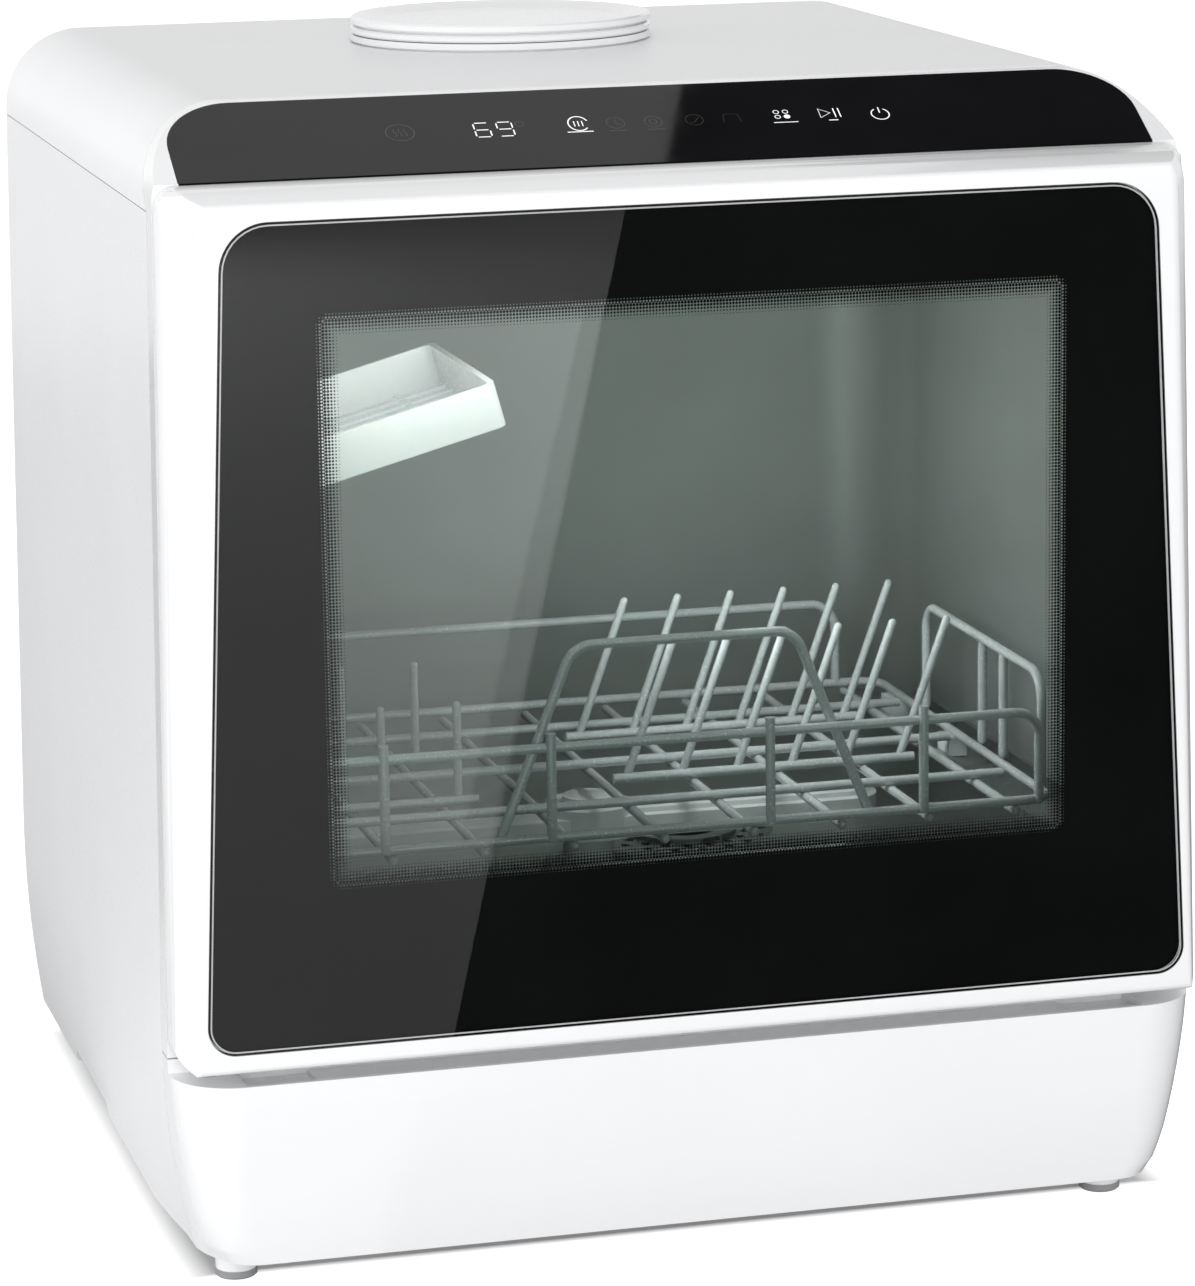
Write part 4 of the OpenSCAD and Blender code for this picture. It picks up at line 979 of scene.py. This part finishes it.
def screw_head(x, z):
    """A low cross-head screw on the back panel, facing backwards."""
    n = SCREW_STEPS
    verts, faces = [], []
    for r, out in HEAD:
        verts += [at(x + r * c, SCREW_Y + out, z + r * q) for c, q in circle(n)]
    for k in range(len(HEAD) - 1):
        for i in range(n):
            j = (i + 1) % n
            faces.append((k * n + j, k * n + i, (k + 1) * n + i, (k + 1) * n + j))
    h, e = CROSS_HALF, CROSS_ARM
    arms = [(h, e), (h, h), (e, h), (e, -h), (h, -h)]
    cross = arms + [(h, -e)] + [(-a, -b) for a, b in arms] + [(-h, e)]
    base = len(verts)
    verts += [at(x + a, SCREW_Y + CROSS_HIGH, z + b) for a, b in cross]
    verts += [at(x + a, SCREW_Y + CROSS_LOW, z + b) for a, b in cross]
    m = len(cross)
    for i in range(m):
        j = (i + 1) % m
        faces.append((base + i, base + j, base + m + j, base + m + i))
    faces.append(tuple(base + m + i for i in range(m)))
    return verts, faces


BACK_SCREWS = ((-196.0, 130.0), (196.0, 130.0), (-190.0, 330.0), (190.0, 330.0))
screws = joined(screw_head(x, z) for x, z in BACK_SCREWS)
piece("back_screws", *screws, "cabinet", mats["steel_parts"], "steel_parts")


# ---------------------------------------------------------------- control symbols
lit = symbol("symbol_lit", (0.90, 0.92, 0.92), 0.5)
digits = symbol("symbol_digits", (0.88, 0.90, 0.90), 0.4)
dim = symbol("symbol_dim", (0.085, 0.088, 0.088), 0.0)
faint = symbol("symbol_faint", (0.017, 0.018, 0.018), 0.0)


SYMBOL_LIFT = 0.02


def panel(name, mat, draw):
    """Symbols drawn just above the touch panel."""
    s = Sheet(lambda u, v: on_slope(u, v, SYMBOL_LIFT))
    draw(s)
    return s.make(name, "cabinet", mat, "control_glass")


SEGMENTS = {"6": "acdefg", "9": "abcdfg"}
SEGMENT_SHARE = 0.085
SEGMENT_GAP = 0.9
DIGIT_V = 20.9
DIGIT_W = 6.6
DIGIT_H = 9.6


def digit(s, x, which):
    """A seven-segment digit whose left edge is at x."""
    y, w, h = DIGIT_V, DIGIT_W, DIGIT_H
    t = w * SEGMENT_SHARE
    e = t / 2
    ends = {
        "a": ((x + e, y + h - e), (x + w - e, y + h - e)),
        "b": ((x + w - e, y + h / 2), (x + w - e, y + h - e)),
        "c": ((x + w - e, y + e), (x + w - e, y + h / 2)),
        "d": ((x + e, y + e), (x + w - e, y + e)),
        "e": ((x + e, y + e), (x + e, y + h / 2)),
        "f": ((x + e, y + h / 2), (x + e, y + h - e)),
        "g": ((x + e, y + h / 2), (x + w - e, y + h / 2)),
    }
    for key in SEGMENTS[which]:
        (ax, ay), (bx, by) = ends[key]
        along = Vector((bx - ax, by - ay)).normalized()
        gap = t * SEGMENT_GAP
        p = Vector((ax, ay)) + along * gap
        q = Vector((bx, by)) - along * gap
        side = Vector((-along.y, along.x)) * e
        s.fan(
            [
                tuple(p),
                tuple(p + along * e - side),
                tuple(q - along * e - side),
                tuple(q),
                tuple(q - along * e + side),
                tuple(p + along * e + side),
            ]
        )


def draw_time(s):
    digit(s, -74.9, "6")
    digit(s, -65.8, "9")


def draw_clock(s):
    s.stroke(arc(-56.4, 28.6, 1.7, 0, 360), 0.28, True)
    s.stroke([(-56.4, 29.6), (-56.4, 28.6), (-55.6, 28.6)], 0.24)


def draw_wash(s):
    """Bars under an open sweep: the wash symbol that is on."""
    x, y = -33.2, 27.2
    s.stroke(arc(x, y, 4.0, 20, 300, ry=4.6), 0.5)
    for k in (-1.6, 0, 1.6):
        s.stroke([(x + k, y - 1.8), (x + k, y + 1.6)], 0.4)
    s.bar(-38.6, 21.6, -28.2, 22.1)


def draw_tablets(s):
    x, y = 49.0, 27.6
    for dx, dy in ((-1.9, 1.6), (1.9, 1.6), (-1.9, -1.6)):
        s.stroke(arc(x + dx, y + dy, 1.1, 0, 360, 16), 0.32, True)
    s.disc(x + 1.9, y - 1.6, 1.3, 16)
    s.bar(44.6, 22.1, 54.6, 22.5)


def draw_start(s):
    s.stroke([(64.4, 24.3), (68.8, 27.2), (64.4, 30.1)], 0.42, True)
    s.bar(70.3, 24.3, 70.8, 30.1)
    s.bar(72.3, 24.3, 72.8, 30.1)
    s.bar(67.2, 22.2, 71.0, 22.7)


def draw_power(s):
    x, y = 88.9, 25.1
    s.stroke(arc(x, y, 3.6, 120, 300, 32), 0.45)
    s.stroke([(x, y + 0.8), (x, y + 4.4)], 0.45)


def draw_dry(s):
    x, y = -104.0, 26.2
    s.stroke(arc(x, y, 5.6, 0, 360, 40, 5.2), 0.34, True)
    for k in (-2.0, 0.0, 2.0):
        wave = [
            (x + k + 0.5 * math.sin(i / 8 * math.tau), y - 2.4 + 0.6 * i)
            for i in range(9)
        ]
        s.stroke(wave, 0.3)


def draw_modes(s):
    for u, v, r in ((-18.4, 26.6, 3.6), (-3.3, 26.4, 3.5)):
        s.stroke(arc(u, v, r, 0, 360, 32), 0.28, True)
        s.bar(u - 3.4, v - 5.2, u + 3.6, v - 4.8)
    s.stroke([(-18.4, 29.0), (-18.4, 26.4), (-16.2, 25.0)], 0.28)
    s.stroke(arc(-3.3, 26.4, 1.5, 0, 360, 20), 0.28, True)


def draw_faint(s):
    s.stroke(arc(13.3, 26.4, 3.5, 0, 360, 32), 0.28, True)
    s.stroke([(11.2, 25.0), (12.8, 24.6), (15.4, 28.0)], 0.28)
    s.stroke([(24.8, 24.0), (25.6, 29.2), (31.2, 29.2), (32.0, 24.0)], 0.28)


panel("symbols_time", digits, draw_time)
panel("symbol_wash", lit, draw_wash)
panel("symbol_tablets", lit, draw_tablets)
panel("symbol_start", lit, draw_start)
panel("symbol_power", lit, draw_power)
panel("symbol_dry", dim, draw_dry)
panel("symbols_modes", dim, draw_modes)
panel("symbol_clock", dim, draw_clock)
panel("symbols_faint", faint, draw_faint)


# ---------------------------------------------------------------- camera
# Fitted to the machine's corners; lengths in pixels of the picture, angles in radians.
FOCAL_PX = 5032.79
FRAME_W = 1195
FRAME_H = 1286
PRINCIPAL = (640.0, 640.0)
SENSOR = 36.0
YAW = 0.2624
PITCH = 0.2114
ROLL = -0.0135
EYE = (-517.57, -1830.64, 663.71)


def photo_camera():
    """The camera of the picture."""
    data = bpy.data.cameras.new("camera")
    cam = bpy.data.objects.new("camera", data)
    bpy.context.scene.collection.objects.link(cam)
    bpy.context.scene.camera = cam
    data.sensor_width = SENSOR
    data.sensor_fit = "AUTO"
    data.lens = FOCAL_PX / FRAME_H * SENSOR
    data.shift_x = (FRAME_W / 2 - PRINCIPAL[0]) / FRAME_H
    data.shift_y = (PRINCIPAL[1] - FRAME_H / 2) / FRAME_H
    data.clip_start, data.clip_end = 0.05, 100.0
    level = math.cos(PITCH)
    fwd = Vector((math.sin(YAW) * level, math.cos(YAW) * level, -math.sin(PITCH)))
    right = Vector((math.cos(YAW), -math.sin(YAW), 0))
    up = right.cross(fwd)
    rolled_right = right * math.cos(ROLL) + up * math.sin(ROLL)
    rolled_up = up * math.cos(ROLL) - right * math.sin(ROLL)
    basis = Matrix((rolled_right, rolled_up, -fwd)).transposed()
    cam.matrix_world = Matrix.Translation(at(*EYE)) @ basis.to_4x4()
    return cam


camera = photo_camera()
bpy.context.view_layer.update()

# ---------------------------------------------------------------- world, floor, lamps
# The white surround's strength as light, and as seen directly, mirrored or through.
WORLD_LIGHT = 0.68
WORLD_SEEN = 1.0


def studio():
    """An even white surround."""
    world = bpy.data.worlds.new("studio")
    bpy.context.scene.world = world
    world.use_nodes = True
    t = world.node_tree
    t.nodes.clear()
    back = t.nodes.new("ShaderNodeBackground")
    back.inputs["Color"].default_value = (1, 1, 1, 1)
    path = t.nodes.new("ShaderNodeLightPath")
    rays = ("Is Camera Ray", "Is Glossy Ray", "Is Transmission Ray")
    level = t.nodes.new("ShaderNodeMapRange")
    level.inputs["To Min"].default_value = WORLD_LIGHT
    level.inputs["To Max"].default_value = WORLD_SEEN
    t.links.new(greatest(t, [path.outputs[r] for r in rays]), level.inputs["Value"])
    t.links.new(level.outputs["Result"], back.inputs["Strength"])
    out = t.nodes.new("ShaderNodeOutputWorld")
    t.links.new(back.outputs["Background"], out.inputs["Surface"])


studio()

# Axis, side, and how far out the floor's painted shade ends and its white begins.
FLOOR_RAMPS = (
    ("X", -1, 0.190, 0.208),
    ("X", 1, 0.200, 0.216),
    ("Y", -1, 0.1525, 0.158),
    ("Y", 1, 0.190, 0.215),
)
# The glow's level over the footprint: painted shade added to the real shadow under the
# machine.
FLOOR_PAINTED_SHADE = 0.12
FLOOR_WHITE = 0.95
# How much of the floor's white mirrors see.
FLOOR_MIRRORED = 0.18
FLOOR_HALF = 12.0


def floor_material():
    """Diffuse, so that it keeps the real shadow, plus a glow kept low over the
    machine's footprint, a painted shade; white farther out.
    """
    m, t, out = graph("floor")
    diffuse = t.nodes.new("ShaderNodeBsdfDiffuse")
    grain = noise(t, 300.0, 2.0)
    t.links.new(
        tones(t, grain, (0.615, 0.615, 0.62), (0.635, 0.635, 0.64)),
        diffuse.inputs["Color"],
    )
    lift = t.nodes.new("ShaderNodeEmission")
    path = t.nodes.new("ShaderNodeLightPath")
    tc = t.nodes.new("ShaderNodeTexCoord")
    apart = t.nodes.new("ShaderNodeSeparateXYZ")
    t.links.new(tc.outputs["Object"], apart.inputs[0])
    ramps = []
    for axis, sign, near, clear in FLOOR_RAMPS:
        span = t.nodes.new("ShaderNodeMapRange")
        span.inputs["From Min"].default_value = sign * near
        span.inputs["From Max"].default_value = sign * clear
        t.links.new(apart.outputs[axis], span.inputs["Value"])
        ramps.append(span.outputs["Result"])
    amount = t.nodes.new("ShaderNodeMapRange")
    amount.inputs["To Min"].default_value = FLOOR_PAINTED_SHADE
    amount.inputs["To Max"].default_value = FLOOR_WHITE
    t.links.new(greatest(t, ramps), amount.inputs["Value"])
    in_mirrors = product(t, path.outputs["Is Glossy Ray"], FLOOR_MIRRORED)
    seen_by = greatest(t, [path.outputs["Is Camera Ray"], in_mirrors])
    strength = product(t, seen_by, amount.outputs["Result"])
    t.links.new(strength, lift.inputs["Strength"])
    add = t.nodes.new("ShaderNodeAddShader")
    t.links.new(diffuse.outputs["BSDF"], add.inputs[0])
    t.links.new(lift.outputs["Emission"], add.inputs[1])
    t.links.new(add.outputs["Shader"], out.inputs["Surface"])
    return m


def stage_plane(name, corners, mat):
    """A flat sheet that belongs to the stage, not to the machine."""
    me = bpy.data.meshes.new(name)
    me.from_pydata([tuple(c) for c in corners], [], [tuple(range(len(corners)))])
    o = bpy.data.objects.new(name, me)
    bpy.context.scene.collection.objects.link(o)
    me.materials.append(mat)
    return o


h = FLOOR_HALF
stage_plane(
    "floor", [(-h, -h, 0), (h, -h, 0), (h, h, 0), (-h, h, 0)], floor_material()
)


def area_lamp(name, place, target, watts):
    """An area lamp that neither the camera nor mirrors see."""
    data = bpy.data.lights.new(name, "AREA")
    data.energy = watts
    o = bpy.data.objects.new(name, data)
    bpy.context.scene.collection.objects.link(o)
    o.location = place
    o.rotation_mode = "QUATERNION"
    o.rotation_quaternion = (Vector(target) - Vector(place)).to_track_quat("-Z", "Y")
    o.visible_glossy = False
    o.visible_camera = False
    return data


def lamp(name, place, target, size, watts):
    """A round soft lamp, placed in metres."""
    data = area_lamp(name, place, target, watts)
    data.shape = "DISK"
    data.size = size
    data.specular_factor = 0.0


def tub_lamp(name, place, target, size, watts):
    """A soft strip inside the tub, so that the inside reads through the window."""
    data = area_lamp(name, at(*place), at(*target), watts)
    data.shape = "RECTANGLE"
    data.size, data.size_y = size


lamp("key", (-0.5, -3.2, 0.62), (0, 0, 0.2), 1.6, 56.0)
lamp("side_fill", (-2.6, 0.1, 0.16), (0, 0, 0.15), 1.4, 35.0)
tub_lamp("tub_strip", (0, 52, 396), (20, 300, 190), (0.30, 0.02), 0.3)
tub_lamp("tub_wall_lamp", (20, 130, 300), (183, 175, 262), (0.12, 0.10), 0.62)
tub_lamp("shelf_lamp", (-118, 44, 376), (-112, 82, 322), (0.08, 0.03), 0.03)


def card_black():
    """A plain near-black, for the stage only."""
    m, t, out = graph("card")
    d = t.nodes.new("ShaderNodeBsdfDiffuse")
    d.inputs["Color"].default_value = (0.004, 0.004, 0.004, 1)
    t.links.new(d.outputs["BSDF"], out.inputs["Surface"])
    return m


card_mat = card_black()


def card(name, corners):
    """A dark card that only mirrors see."""
    o = stage_plane(name, corners, card_mat)
    o.visible_camera = False
    o.visible_diffuse = False
    o.visible_shadow = False
    o.visible_transmission = False
    return o


def mirrored(p, n, q):
    """The point q mirrored in the plane through p with unit normal n."""
    return q - n * (2 * (q - p).dot(n))


def cut(eye, p, height):
    """Where the ray from the mirrored eye through p meets the plane z = height."""
    d = p - eye
    return eye + d * ((height - eye.z) / d.z)


def mirror_card(name, mirror, normal, top, foot, height, ends, width):
    """A flat card at a height whose left edge mirrors as the line from top to foot."""
    eye = mirrored(mirror, normal, camera.matrix_world.translation)
    a, b = cut(eye, top, height), cut(eye, foot, height)
    along = (b - a).normalized()
    a, b = a - along * ends[0], b + along * ends[1]
    out = Vector((width, 0, 0))
    card(name, [a, b, b + out, a + out])


mirror_card(
    "card_door",
    at(0, 0, 0),
    Vector((0, -1, 0)),
    at(-29.1, 0, 424.5),
    at(-102.4, 0, 106.4),
    height=0.001,
    ends=(0, 3),
    width=4,
)
mirror_card(
    "card_panel",
    on_slope(0, 0),
    Vector((0, -math.sin(SLOPE_A), math.cos(SLOPE_A))),
    on_slope(13.87, 49.4),
    on_slope(-5.07, -1.27),
    height=2.0,
    ends=(3, 3),
    width=6,
)

bpy.context.scene.view_settings.view_transform = "Standard"
